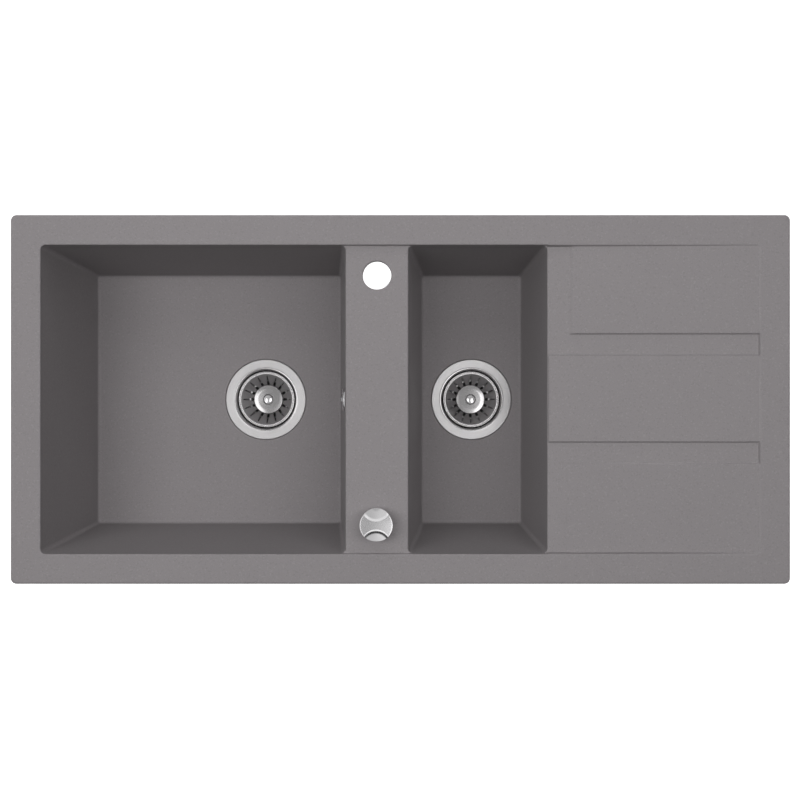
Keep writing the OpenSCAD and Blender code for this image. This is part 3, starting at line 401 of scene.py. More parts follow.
def composite_finish():
    """Matte quartz composite: fine light and dark grains in a warm grey, with faint clouding."""
    f = Finish("composite", Specular_IOR_Level=0.4)
    grain = f.noise(1400, 3, roughness=0.7)
    clouds = f.noise(9, 3)
    cells = f.node("ShaderNodeTexVoronoi", {}, {"Vector": f.place, "Scale": 620.0}, "Color")
    pick = f.node("ShaderNodeSeparateColor", {}, {"Color": cells})
    light = pick.step(0.90, 0.97)
    dark = 1 - pick.step(0.05, 0.12)
    tone = grain.step(0.25, 0.75) * 0.7 + clouds * 0.3
    base = f.blend(tone, grey(0.232), grey(0.282))
    with_dark = f.blend(dark * 0.16, base, grey(0.13))
    colour = f.blend(light * 0.11, with_dark, grey(0.48, 0.6))
    return f.feed(
        Base_Color=colour,
        Roughness=0.50 + grain * 0.16,
        Normal=f.bump(grain, 0.22, 0.0002),
    )


def turned_steel(name, centre, tone, rough, groove, level=None, factor=1, bead_r=0):
    """Steel brushed in circles round an upright axis: fine noise of the distance from the axis.

    Below the level the steel's tone is its own times the factor, a painted shade for the shaded depths of
    the throat and the basket, and its gloss is lower. Nearer the axis than bead_r the steel is polished.
    Both edges are soft over a millimetre or less.
    """
    f = Finish(name, Metallic=1.0)
    flat = f.stretched(centre, (1, 1, 0))
    radius = f.node("ShaderNodeVectorMath", {"operation": "LENGTH"}, {0: flat}, "Value")
    lines = f.node(
        "ShaderNodeTexNoise", {"noise_dimensions": "1D"}, {"W": radius * 1400, "Scale": 1.0, "Detail": 3.0}
    )
    patches = f.noise(60, 2)
    colour = f.blend(lines * 0.6 + patches * 0.4, grey(tone * 0.86, 0.3), grey(tone * 1.08, 0.3))
    rough = rough - 0.05 + lines * 0.1 + patches * 0.06
    if bead_r:
        rough = rough - (1 - radius.step((bead_r - 0.3) * MM, bead_r * MM)) * 0.16
    # Painted shade: below the level the tone is darkened by the factor, standing in for shade deep in the
    # throat and basket
    if level is not None:
        height = f.node("ShaderNodeSeparateXYZ", {}, {"Vector": f.place}, "Z")
        inside = 1 - height.step((level - 1) * MM, level * MM)
        colour = f.blend(inside, colour, grey(tone * factor, 0.3))
        rough = rough + inside * 0.12
    return f.feed(Base_Color=colour, Roughness=rough, Normal=f.bump(lines, 0.25 * groove, 0.00015))


def waste_steel(name, **look):
    """Turned steel for each waste, with its circles round that waste's axis."""
    return {key: turned_steel(f"{name}_{key}", (x * MM, 0, 0), **look) for key, x in WASTES.items()}


def metal(name, colour, rough, scratch):
    """Polished or machined metal: faint uneven polish and hairline scratches."""
    f = Finish(name, Metallic=1.0)
    wear = f.noise(350, 4)
    smear = f.noise(30, 2)
    dim = (*(c * 0.9 for c in colour[:3]), 1)
    return f.feed(
        Base_Color=f.blend(smear, dim, colour),
        Roughness=rough + wear * scratch + smear * scratch * 0.5,
        Normal=f.bump(wear, 0.02, 0.0001),
    )


def moulded(name, dark, light, rough):
    """Moulded plastic or rubber: fine spark texture and slight uneven tone."""
    f = Finish(name, Specular_IOR_Level=0.4)
    spark = f.noise(1260, 2)
    tone = f.noise(14, 3)
    return f.feed(
        Base_Color=f.blend(tone, dark, light),
        Roughness=rough - 0.06 + spark * 0.12,
        Normal=f.bump(spark, 0.25, 0.0002),
    )


# Drops from the bowl floor below which the cups and the baskets are darker: painted shade for their shaded
# depths
THROAT_SHADE_DROP = 1.2
BASKET_SHADE_DROP = 7

composite = composite_finish()
cup_steel = waste_steel(
    "cup_steel", tone=0.62, rough=0.28, groove=1.5, level=FLOOR_Z - THROAT_SHADE_DROP, factor=0.6, bead_r=44
)
basket_steel = waste_steel(
    "basket_steel", tone=0.80, rough=0.20, groove=0.4, level=FLOOR_Z - BASKET_SHADE_DROP, factor=0.68
)
cap_steel = waste_steel("cap_steel", tone=0.50, rough=0.12, groove=0.06)
chrome = metal("chrome", (0.80, 0.79, 0.80, 1), 0.10, 0.03)
plain_steel = metal("plain_steel", (0.60, 0.60, 0.61, 1), 0.30, 0.15)
brass = metal("brass", (0.72, 0.54, 0.26, 1), 0.30, 0.15)
rubber = moulded("rubber", (0.018, 0.018, 0.018, 1), (0.034, 0.033, 0.033, 1), 0.72)
black_plastic = moulded("black_plastic", (0.026, 0.026, 0.028, 1), (0.045, 0.045, 0.047, 1), 0.42)
grey_plastic = moulded("grey_plastic", (0.36, 0.36, 0.37, 1), (0.44, 0.44, 0.45, 1), 0.45)
white_plastic = moulded("white_plastic", (0.70, 0.68, 0.62, 1), (0.78, 0.76, 0.71, 1), 0.40)
cable_black = moulded("cable_black", (0.020, 0.020, 0.021, 1), (0.034, 0.034, 0.036, 1), 0.50)


# Sink body

def eased(t):
    """Smooth step from 0 to 1: 3t^2 - 2t^3 with t held between 0 and 1."""
    t = np.clip(t, 0, 1)
    return t * t * (3 - 2 * t)


def stacked(levels, x_span, y_half, r):
    """Closed solid of outlines, one for each (inset, height); the corner radius shrinks with the inset."""
    x0, x1 = x_span
    rings = [outline(x0 + i, x1 - i, -y_half + i, y_half - i, r - i, z) for i, z in levels]
    return skin(np.array(rings))


def quarter(radius, steps):
    """Insets and heights of a quarter round from the side (0, 0) to the top (radius, radius)."""
    a = np.linspace(0, np.pi / 2, steps + 1)
    return np.stack([radius * (1 - np.cos(a)), radius * np.sin(a)], axis=1)


def rim_slab():
    """Slab of the whole outline, with a small chamfer below and the rim's round-over on top."""
    chamfer = 0.6
    levels = [(chamfer, 0), (0, chamfer)] + [(i, RIM_H - EDGE_R + z) for i, z in quarter(EDGE_R, 8)]
    return stacked(levels, (-RIM_L / 2, RIM_L / 2), RIM_W / 2, CORNER_R)


def skirt():
    """Block that drops into the worktop's cut-out, chamfered below and sunk into the slab above."""
    chamfer, height = 1, 9
    x = RIM_L / 2 - SKIRT_INSET
    levels = [(chamfer, DECK_UNDER_Z), (0, DECK_UNDER_Z + chamfer), (0, DECK_UNDER_Z + height)]
    return stacked(levels, (-x, x), RIM_W / 2 - SKIRT_INSET, CORNER_R)


def recess():
    """Space above the bowls and the drainer, with a small foot radius and a rolled upper edge."""
    foot, above = 1.2, 5
    a = np.linspace(0, np.pi / 2, 6)
    levels = [(foot * (1 - np.sin(t)), DECK_Z + foot * (1 - np.cos(t))) for t in a]
    levels += [(-LIP_R * (1 - np.cos(t)), RIM_H - LIP_R + LIP_R * np.sin(t)) for t in a]
    levels += [(-LIP_R, RIM_H + above)]
    return stacked(levels, (-OPEN_X, OPEN_X), OPEN_Y, RECESS_R)


def bowl(x_span, leans, grow, top_z, foot_r, lips=(0, 0)):
    """Bowl's inside, or its outside with grow above 0, as outlines from the floor to the top.

    A wall stands in from the opening by lean times its depth. The foot is a circle of foot_r that touches
    the floor and the wall. A lip rolls outwards at the bridge's level on the sides that have one.
    """
    foot_steps, lip_steps = 6, 5
    floor_z = FLOOR_Z - (FLOOR_T if grow else 0)
    leans = (*leans, SIDE_LEAN)
    angles = [math.atan2(lean, BOWL_DEPTH) for lean in leans]

    def line(side, z):
        """Inset of a wall at height z."""
        return leans[side] * (DECK_Z - z) / BOWL_DEPTH - grow

    def ring(insets, r, z):
        """Outline at height z, with the insets of the left, the right and both long walls."""
        left, right, y = insets
        return outline(x_span[0] + left, x_span[1] - right, -OPEN_Y + y, OPEN_Y - y, r, z)

    rings = []
    for t in np.linspace(0, 1, foot_steps + 1):
        insets = []
        for side, angle in enumerate(angles):
            turn = t * (math.pi / 2 - angle)
            centre = line(side, floor_z) + foot_r * (1 / math.cos(angle) - math.tan(angle))
            insets.append(centre - foot_r * math.sin(turn))
        lift = foot_r * (1 - math.cos(t * (math.pi / 2 - max(angles))))
        rings.append(ring(insets, foot_r * math.sin(t * math.pi / 2), floor_z + lift))
    if grow:
        rings.append(ring([line(side, top_z) for side in range(3)], BOWL_R + grow, top_z))
        return skin(np.array(rings))
    for t in np.linspace(0, math.pi / 2, lip_steps + 1):
        z = DECK_Z - LIP_R + LIP_R * math.sin(t)
        roll = LIP_R * (1 - math.cos(t))
        insets = [line(side, z) - roll * lips[side] for side in range(2)] + [line(2, z)]
        rings.append(ring(insets, BOWL_R, z))
    rings.append(ring([-LIP_R * lip for lip in lips] + [0], BOWL_R, top_z))
    return skin(np.array(rings))


def lines_between(edges, start, end, coarse):
    """Grid lines from start to end: dense across each soft edge (place, half width), coarse between."""
    near = np.linspace(-1, 1, 9)
    dense = [place + half * near for place, half in edges]
    lines = np.concatenate([np.arange(start, end, coarse), [end], *dense])
    return np.unique(np.round(lines[(lines >= start) & (lines <= end)], 3))


def drainer_height(x, y):
    """Height of the drainer at x, y: a slope plus eased steps for the panels.

    slope = rise * (x - start) / length; each panel is its height * product of eased edges. The front panel
    lies FRONT_DROP lower and twists: it climbs along its length to the panel height and falls towards its
    near left corner. At the right and the front the floor climbs over the last WALL_FOOT mm nearly to the
    rim's height, as a slanted wall, and at the back over a foot that narrows to the right.
    """
    run_l = DRAINER_X[1] - DRAINER_X[0]
    run = x - DRAINER_X[0]
    along = run / run_l
    z = DECK_Z + RISE * along

    def edge(d, half=PANEL_EDGE):
        """Eased step from 0 to 1 as d goes from -half to half."""
        return eased(d / half * 0.5 + 0.5)

    back = edge(run - BACK_MARGIN, PANEL_END) * edge(y - BACK_Y)
    middle = edge(y - MIDDLE_Y[0]) * edge(MIDDLE_Y[1] - y)
    front = edge(run - FRONT_MARGIN, PANEL_END) * edge(FRONT_Y - y)
    nearness = np.clip((FRONT_Y - y) / (FRONT_Y + OPEN_Y), 0, 1)
    length = np.clip((run - FRONT_MARGIN) / (run_l - FRONT_MARGIN), 0, 1)
    twist = PANEL_H * length - FRONT_FALL * (1 - length) * nearness - FRONT_DROP
    z = z + PANEL_H * np.maximum(back, middle) + front * twist
    past_back = (y - OPEN_Y) / (1 - BACK_FOOT_LOSS * along)
    past_opening = np.maximum.reduce([x - OPEN_X, -OPEN_Y - y, past_back])
    climb = np.clip(past_opening / WALL_FOOT + 1, 0, 1)
    return z + (RIM_H - FOOT_END - z) * climb


def drainer():
    """Closed block whose top is the drainer's relief, on a grid of lines that gather at the soft edges."""
    x0, x1 = DRAINER_X
    grow, sunk, coarse = 3, 5, 12
    half = WALL_FOOT / 2
    ends = [(x0 + BACK_MARGIN, PANEL_END), (x0 + FRONT_MARGIN, PANEL_END), (x1 - half, half)]
    steps = [(y, PANEL_EDGE) for y in (BACK_Y, *MIDDLE_Y, FRONT_Y)]
    feet = [(half - OPEN_Y, half), (OPEN_Y - half, half)]
    xs = lines_between(ends, x0, x1 + grow, coarse)
    ys = lines_between(steps + feet, -OPEN_Y - grow, OPEN_Y + grow, coarse)
    gx, gy = np.meshgrid(xs, ys, indexing="ij")
    top = np.stack([gx, gy, drainer_height(gx, gy)], axis=-1)
    foot = top.copy()
    foot[..., 2] = DECK_Z - sunk
    count = gx.size
    index = np.arange(count).reshape(gx.shape)
    quads = np.stack([index[:-1, :-1], index[1:, :-1], index[1:, 1:], index[:-1, 1:]], axis=-1)
    quads = quads.reshape(-1, 4)
    border = np.concatenate([index[:, 0], index[-1, 1:], index[-2::-1, -1], index[0, -2:0:-1]])
    following = np.roll(border, -1)
    sides = np.stack([border + count, following + count, following, border], axis=-1)
    faces = quads.tolist() + sides.tolist() + (quads[:, ::-1] + count).tolist()
    return np.concatenate([top.reshape(-1, 3), foot.reshape(-1, 3)]), faces


def drainer_ribs():
    """Three stiffening ribs under the drainer, each a closed bar with its lower edges chamfered."""
    rib_t, rib_h, corner_r, overlap = 5, 12, 0.4, 3
    chamfer_w, chamfer_h = 0.6, 1
    x1 = RIM_L / 2 - SKIRT_INSET
    foot_z = DECK_UNDER_Z - rib_h
    levels = [(chamfer_w, foot_z), (0, foot_z + chamfer_h), (0, DECK_UNDER_Z + overlap)]
    for y in (-OPEN_Y / 2, 0, OPEN_Y / 2):
        y0, y1 = y - rib_t / 2, y + rib_t / 2
        rings = [outline(HALF_X[1], x1, y0 + i, y1 - i, corner_r, z) for i, z in levels]
        yield skin(np.array(rings))


def waste_hole():
    """Profile of a waste's hole in a bowl floor at z = 0: hole, rebate for the flange and a small edge."""
    edge, below, above = 0.5, 1, 3
    return [
        (0, -FLOOR_T - below), (WASTE_HOLE_R, -FLOOR_T - below), (WASTE_HOLE_R, -REBATE_T),
        (REBATE_R, -REBATE_T), (REBATE_R, -edge), (REBATE_R + edge, 0), (REBATE_R + edge, above),
        (0, above),
    ]


def deck_hole():
    """Profile of the tap hole and the control's, with a rounded upper edge."""
    edge, bulge, below, above = 0.8, 0.24, 1, 2
    return [
        (0, DECK_UNDER_Z - below), (TAP_HOLE_R, DECK_UNDER_Z - below), (TAP_HOLE_R, DECK_Z - edge),
        (TAP_HOLE_R + bulge, DECK_Z - bulge), (TAP_HOLE_R + edge, DECK_Z),
        (TAP_HOLE_R + edge, DECK_Z + above), (0, DECK_Z + above),
    ]


def overflow_hole():
    """Profile of the overflow's hole through a wall whose inner face is at z = 0."""
    behind, before = WALL_T + 2, 3
    return [(0, -behind), (OVERFLOW_R, -behind), (OVERFLOW_R, before), (0, before)]


def sink_body():
    """Composite body: slab, skirt, bowls and ribs joined, then the recess, the bowls and the holes cut out.

    The drainer's relief is joined on in the recess before the bowls' insides are cut.
    """
    overlap = 4
    bowls = [(MAIN_X, (END_LEAN, BRIDGE_LEAN), (0, 1)), (HALF_X, (BRIDGE_LEAN, END_LEAN), (1, 1))]
    body = new_object("composite_body", rim_slab())
    carve(body, new_object("skirt", skirt()), "UNION")
    for span, leans, _ in bowls:
        outside = bowl(span, leans, WALL_T, DECK_UNDER_Z + overlap, FOOT_R + WALL_T)
        carve(body, new_object("outside", outside), "UNION")
    for rib in drainer_ribs():
        carve(body, new_object("rib", rib), "UNION")
    carve(body, new_object("recess", recess()))
    carve(body, new_object("drainer", drainer()), "UNION")
    for span, leans, lips in bowls:
        carve(body, new_object("inside", bowl(span, leans, 0, RIM_H - LIP_R, FOOT_R, lips)))
    for x in WASTES.values():
        cut_round(body, waste_hole(), (x, 0, FLOOR_Z))
    for y in (TAP_Y, CONTROL_Y):
        cut_round(body, deck_hole(), (BRIDGE_X, y, 0))
    carve(body, at_overflow(new_object("drill", turned(overflow_hole()))))
    finish_piece(body, "root", composite, ["sink_body"])


sink_body()


# Wastes, drawn round the waste's axis with the bowl floor at z = 0

def strainer_cup(name, x):
    """Pressed cup: flat flange with a bead at its inner edge, ledge, well, seat and pierced bottom.

    The profile's corners are (radius, height, rounding): up the inside, over the bead and the flange, and
    down the outside, which follows the inside at the sheet's thickness.
    """
    throat, ledge, well, seat, tail, screw = 42, 39.8, 36, 27, 22.5, 5.1
    flange, sheet, taper = 56, 1.2, 1.4
    under_z, ledge_z, taper_z, seat_z, tail_z = -0.6, -9, -30, -34, -39
    inside = [
        (screw, tail_z, 0.2), (tail, tail_z, 1.5), (tail, seat_z, 1.5), (seat, seat_z, 2),
        (well - taper, taper_z, 2.5), (well, ledge_z, 2), (ledge, ledge_z, 0.5), (throat, -1.6, 0.7),
    ]
    top = [
        (throat + 0.3, 0.42, 0.6), (throat + 1.7, 0.7, 0.6), (throat + 3, 0.45, 1),
        (flange - 0.8, 0.6, 0.5), (flange, 0.1, 0.3), (flange, under_z, 0.3),
    ]
    outside = [(throat + sheet + 0.8, under_z, 0.5), (throat + sheet, under_z - 0.8, 0.5)]
    outside += [(r + sheet, z - sheet, 0.5) for r, z, _ in inside[-2:0:-1]]
    outside += [(screw, tail_z - sheet, 0.5)]
    profile = rounded(inside + top + outside, 4)
    cup = new_object(f"{name}_cup", turned(profile[::-1], (x, 0, FLOOR_Z), 128, True))
    windows, ring_r, window_r = 6, 15, 4.5
    window = [(0, 0), (window_r, 0), (window_r, 4), (0, 4)]
    for a in np.arange(windows) * 2 * math.pi / windows:
        centre = (x + ring_r * math.cos(a), ring_r * math.sin(a), FLOOR_Z + tail_z - 2)
        cut_round(cup, window, centre, 24)
    finish_piece(cup, "root", cup_steel[name], [f"{name}_strainer_cup"])


def basket_slots(x):
    """Closed cutters for the slots: rounded bars that narrow outwards, turned round the waste's axis."""
    count, width, outer_width, corner_r, inner, outer = 16, 4.2, 1.5, 1.6, 21, 33.6
    under_z, over_z = -32, -6
    slot = outline(inner, outer, -width / 2, width / 2, corner_r, 0, 5)
    slot[:, 1] *= 1 - (1 - outer_width / width) * (slot[:, 0] - inner) / (outer - inner)
    for a in np.arange(count) * 2 * math.pi / count:
        turn = np.array([[math.cos(a), math.sin(a), 0], [-math.sin(a), math.cos(a), 0], [0, 0, 1]])
        yield skin(np.array([slot @ turn + [x, 0, FLOOR_Z + z] for z in (under_z, over_z)]))


def basket(name, x, body):
    """Basket: rolled rim, thin slotted cone, flat floor and the hub that carries the seal."""
    rim_r, rim_wire, rim_z = 38.25, 1.15, -7.6
    floor_r, floor_z, boss_r, boss_z, hub_r, hub_z = 21.5, -29, 9, -31.5, 6, -35
    sheet, lip_z, lip_t = 1, -8, 0.8
    cone = [
        (hub_r, hub_z, 0.4), (hub_r, boss_z, 0.1), (boss_r, boss_z, 0.1), (boss_r, floor_z, 1),
        (floor_r, floor_z, 1.2), (rim_r - 1.5, lip_z, 0.1), (rim_r - 0.9, lip_z, 0.1),
        (rim_r - 0.9, lip_z + lip_t, 0.1), (rim_r - 2.5, lip_z + lip_t, 0.3),
        (floor_r - 0.9, floor_z + sheet, 1), (0, floor_z + sheet, 0), (0, hub_z, 0),
    ]
    shell = new_object(f"{name}_basket", turned(rounded(cone, 5)[::-1], (x, 0, FLOOR_Z), 192, True))
    carve(shell, new_object("slots", together(list(basket_slots(x)))))
    a = np.linspace(0, 2 * np.pi, 20, endpoint=False)
    wire = np.stack([rim_r + rim_wire * np.cos(a), rim_z + rim_wire * np.sin(a)], axis=1)
    carve(shell, new_object("rim", turned(wire, (x, 0, FLOOR_Z), 192, True)), "UNION")
    finish_piece(shell, body, basket_steel[name], [f"{name}_basket"], 40)


def basket_cap(name, x, body):
    """Cap with a rolled edge, a sloping shoulder and a nearly flat middle, and the button in its dimple.

    The button's crown is top - r^2 / (2 crown_r).
    """
    under_z, edge_r, dimple_z = -28, 20.6, -25.9
    profile = [
        (0, under_z, 0), (edge_r - 0.8, under_z, 0.4), (edge_r, under_z + 0.6, 0.5),
        (edge_r, under_z + 2, 0.8), (19.9, -25.03, 0.8), (15.2, -24.55, 1.6), (7.4, -24.4, 0.3),
        (6.5, dimple_z, 0.1), (6, dimple_z, 0.1), (0, dimple_z, 0),
    ]
    cap = new_object(f"{name}_cap", turned(rounded(profile, 5), (x, 0, FLOOR_Z), 128))
    finish_piece(cap, body, cap_steel[name], [f"{name}_basket_cap"], 50)
    button_r, crown_r, top_z = 5.9, 21, -20.6
    crown = [(r, top_z - r * r / (2 * crown_r)) for r in np.linspace(button_r - 0.7, 0, 9)]
    side = [
        (0, dimple_z, 0), (button_r - 1.3, dimple_z, 0.5), (button_r, -23.8, 0.5),
        (button_r, top_z - 1, 0.5), (*crown[0], 0),
    ]
    points = np.concatenate([rounded(side, 5), crown[1:]])
    button = new_object(f"{name}_button", turned(points, (x, 0, FLOOR_Z), 64))
    finish_piece(button, body, chrome, [f"{name}_basket_button"], 60)


for key, axis_x in WASTES.items():
    strainer_cup(key, axis_x)
    basket(key, axis_x, f"{key}_strainer")
    basket_cap(key, axis_x, f"{key}_strainer")


# Control knob

def knob():
    """Turned knob with a crowned top and a round-over edge, cut by two spheres that leave a waisted ridge.

    The crown falls by its height * (r / radius)^2. A sphere meets the top at the angle scoop_lean: its
    radius is scoop / sin and its centre scoop / tan above the top.
    """
    low, high = box_mm("control_knob")
    radius, z0, z1 = (high[0] - low[0]) / 2, low[2], high[2]
    waist, scoop, scoop_lean = 9.3, 19.2, math.radians(50)
    crown, round_over, bevel = 0.5, 1.6, 0.6
    dome = [(r, z1 - crown * (r / radius) ** 2) for r in np.linspace(radius - 2, 0, 12)]
    side = [(0, z0, 0), (radius, z0, 0.6), (radius, z1 - crown, round_over), (*dome[0], 0)]
    points = np.concatenate([rounded(side, 8), dome[1:]])
    piece = new_object("knob", turned(points, (BRIDGE_X, CONTROL_Y, 0), 160))
    a = np.linspace(-np.pi / 2, np.pi / 2, 65)
    ball = np.stack([np.cos(a), np.sin(a)], axis=1) * scoop / math.sin(scoop_lean)
    ball_z = z1 + scoop / math.tan(scoop_lean)
    for reach in (-scoop - waist / 2, scoop + waist / 2):
        carve(piece, new_object("ball", turned(ball, (BRIDGE_X, CONTROL_Y + reach, ball_z), 160)))
    edge = piece.modifiers.new("edge", "BEVEL")
    edge.width = bevel * MM
    edge.segments = 3
    edge.limit_method = "ANGLE"
    edge.angle_limit = math.radians(35)
    apply_modifiers(piece)
    finish_piece(piece, "control", chrome, ["control_knob"], 40)


knob()


# Overflow rosette

def rosette():
    """Round cover with a rounded edge and slots on both sides of its screw, turned to the leaning wall."""
    plug_r, cover_r, screw_r, slot_w, slot_end_r = 11.9, 15, 2.1, 3, 1.4
    behind, before = -7, 4
    profile = [
        (0, -6, 0), (plug_r, -6, 0.3), (plug_r, 0, 0.1), (cover_r, 0, 0.3), (cover_r, 1.2, 0.8),
        (cover_r - 1.4, 2.6, 1), (cover_r - 3.8, 3, 0.8), (0, 3, 0),
    ]
    cover = new_object("rosette", turned(rounded(profile, 5)))
    for half_l, y in ((8.5, 5.1), (5, 10), (8.5, -5.1), (5, -10)):
        y0, y1 = y - slot_w / 2, y + slot_w / 2
        slot = [outline(-half_l, half_l, y0, y1, slot_end_r, z) for z in (behind, before)]
        carve(cover, new_object("slot", skin(np.array(slot))))
    cut_round(cover, [(0, behind), (screw_r, behind), (screw_r, before), (0, before)], (0, 0, 0), 24)
    finish_piece(at_overflow(cover), "root", chrome, ["overflow_rosette"], 40)


rosette()


# Overflow hose, its nuts and the control's cable

def hose_line(s, inlet, bend, run_l):
    """Middle line of the hose at distances s: along X, round a quarter circle of radius bend, then up."""
    a = np.clip((s - run_l) / bend, 0, np.pi / 2)
    x = inlet[0] + np.minimum(s, run_l) + bend * np.sin(a)
    z = inlet[2] + bend * (1 - np.cos(a)) + np.maximum(s - run_l - bend * math.pi / 2, 0)
    return np.stack([x, 0 * s, z], axis=1)


def overflow_hose():
    """Ribbed tube with a smooth bore.

    Its outer radius is crest - depth * eased(0.5 - 0.8 cos(2 pi s / pitch)), with a whole number of ribs.
    """
    low, high = box_mm("overflow_hose")
    crest = (high[1] - low[1]) / 2
    bore, bend, depth, pitch = 9.5, 45, 1.2, 4
    steps_per_rib, bore_steps, around = 8, 60, 40
    inlet = np.array([low[0], 0, low[2] + crest])
    run_l = high[0] - crest - bend - inlet[0]
    length = run_l + bend * math.pi / 2 + high[2] - inlet[2] - bend
    ribs = math.floor(length / pitch)
    s = np.linspace(0, length, ribs * steps_per_rib + 1)
    bore_s = np.linspace(0, length, bore_steps)
    outer = crest - depth * eased(0.5 - 0.8 * np.cos(2 * np.pi * s * ribs / length))
    outside = swept(hose_line(s, inlet, bend, run_l), (0, 1, 0), outer, around)
    inside = swept(hose_line(bore_s, inlet, bend, run_l), (0, 1, 0), bore, around)
    hose = new_object("hose", skin(np.concatenate([outside, inside[::-1]]), True))
    finish_piece(hose, "root", grey_plastic, ["overflow_hose"], 60)


def gripped(profile, grip, count, depth):
    """Turned profile with raised grips, the same number as count.

    Its radius falls by grip * depth * eased(0.5 - 0.9 cos(count a)), with grip 0 where a point has none.
    """
    steps_per_grip = 8
    profile = np.asarray(profile, float)
    a = np.linspace(0, 2 * np.pi, count * steps_per_grip, endpoint=False)
    fall = np.asarray(grip, float)[:, None] * depth * eased(0.5 - 0.9 * np.cos(count * a))
    r = profile[:, :1] - fall
    return np.stack([r * np.cos(a), r * np.sin(a), profile[:, 1:] + 0 * a], axis=-1)


def hose_nuts():
    """Two nuts with moulded grips: one along X at the waste's spigot, one upright under the overflow.

    Their ends are stepped in from the grips: each step is (in from the radius, in from the end).
    """
    low, high = box_mm("overflow_hose_nuts")
    radius, bore, length, grips, grip_depth = (high[1] - low[1]) / 2, 13.1, 18, 20, 1.0
    steps = [(1.2, 0), (0.6, 0.6), (0.2, 2), (0, 2.6)]
    profile = [(bore, 0), (bore, length)] + [(radius - r, length - z) for r, z in steps]
    profile += [(radius - r, z) for r, z in steps[::-1]]
    on_grips = [0] * 5 + [1, 1] + [0] * 3
    rings = gripped(profile, on_grips, grips, grip_depth)
    upright = rings + [high[0] - radius, 0, high[2] - length]
    lying = rings[..., [2, 1, 0]] * [1, -1, 1] + [low[0], 0, low[2] + radius]
    nuts = new_object("hose_nuts", together([skin(nut, True) for nut in (upright, lying)]))
    finish_piece(nuts, "root", black_plastic, ["overflow_hose_nuts"], 40)


# Steps of the cable's route: shares of the way from its start to its end along X, Y and Z
CABLE_ROUTE = [
    (0.005, 0.46, 0.06),
    (0.005, 0.79, 0.16),
    (0.015, 0.93, 0.30),
    (0.025, 0.97, 0.45),
    (0.040, 0.99, 0.61),
    (0.085, 1, 0.76),
    (0.180, 1, 0.87),
    (0.330, 1, 0.95),
    (0.530, 1, 0.992),
]


def smooth_curve(points, steps):
    """Curve through the points; between b and c, with neighbours a and d, at t from 0 to 1:

    (2b + (c - a) t + (2a - 5b + 4c - d) t^2 + (3b - a - 3c + d) t^3) / 2.
    """
    p = np.asarray(points, float)
    p = np.concatenate([p[:1], p, p[-1:]])
    a, b, c, d = (p[k:len(p) - 3 + k, None] for k in range(4))
    t = np.linspace(0, 1, steps, endpoint=False)[None, :, None]
    curve = (2 * b + (c - a) * t + (2 * a - 5 * b + 4 * c - d) * t**2 + (3 * b - a - 3 * c + d) * t**3) / 2
    return np.concatenate([curve.reshape(-1, 3), p[-1:]])


def control_cable():
    """Sheathed cable from the control's lug, down between the bowls, to the lug of the crank's cover."""
    low, high = box_mm("control_cable")
    radius, straight = 2.5, 12
    lug_y = box_mm("control_housing")[1][1]
    cover_x = box_mm("lift_cover")[1][0]
    start = np.array([high[0] - radius, lug_y, middle_mm("control_drum")[2]])
    end = np.array([cover_x, middle_mm("lift_crank")[1], low[2] + radius])
    steps = [start + share * (end - start) for share in np.array(CABLE_ROUTE)]
    route = smooth_curve([start, start + [0, straight, 0], *steps, end + [straight, 0, 0], end], 10)
    sheath = new_object("cable", skin(swept(route, (1, 1, 0), radius, 20)))
    finish_piece(sheath, "root", cable_black, ["control_cable"], 50)


overflow_hose()
hose_nuts()
control_cable()


# Finishes of the parts that keep their own shape

CAD_FINISHES = {
    "main_flange_seal": rubber, "half_flange_seal": rubber, "main_body_gasket": rubber,
    "half_body_gasket": rubber, "main_basket_seal": rubber, "half_basket_seal": rubber,
    "lift_gland_ring": rubber, "overflow_gasket": rubber, "control_base_seal": rubber,
    "control_washer": rubber,
    "main_waste_body": black_plastic, "half_waste_body": black_plastic, "lift_gland_nut": black_plastic,
    "lift_cover": black_plastic, "overflow_elbow": black_plastic, "control_housing": black_plastic,
    "main_centre_screw": plain_steel, "half_centre_screw": plain_steel, "main_lift_pin": plain_steel,
    "lift_shaft": plain_steel, "lift_crank": plain_steel, "half_basket_stem": plain_steel,
    "overflow_screw": plain_steel, "control_grub_screw": plain_steel, "control_spindle": plain_steel,
    "main_insert_nut": brass, "half_insert_nut": brass, "control_nut": brass,
    "control_base": chrome, "control_drum": white_plastic,
}
for node, material in CAD_FINISHES.items():
    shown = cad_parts[node]
    shown.data.materials.clear()
    shown.data.materials.append(material)


# Floor, light and camera

def floor():
    """Plain white floor well below the part, lit from within: no shadow shows through the tap hole."""
    size, z = 6000, -330
    points = [(-size, -size, z), (size, -size, z), (size, size, z), (-size, size, z)]
    piece = new_object("floor", (points, [[0, 1, 2, 3]]))
    white = Finish("floor_white", Roughness=0.9)
    soft = white.noise(1.5, 1)
    colour = white.blend(soft, (0.90, 0.90, 0.90, 1), (0.93, 0.93, 0.93, 1))
    white.shader.inputs["Emission Color"].default_value = (1, 1, 1, 1)
    white.shader.inputs["Emission Strength"].default_value = 1.0
    piece.data.materials.append(white.feed(Base_Color=colour))


def softbox(name, place, size, power):
    """Area light that looks from a place at the part's middle; gloss mirrors the room and not the lamp."""
    data = bpy.data.lights.new(name, "AREA")
    data.shape = "RECTANGLE"
    data.size, data.size_y = size
    data.energy = power
    lamp = bpy.data.objects.new(name, data)
    lamp.location = place
    lamp.rotation_euler = (-Vector(place)).to_track_quat("-Z", "Y").to_euler()
    lamp.visible_glossy = False
    bpy.context.scene.collection.objects.link(lamp)


floor()
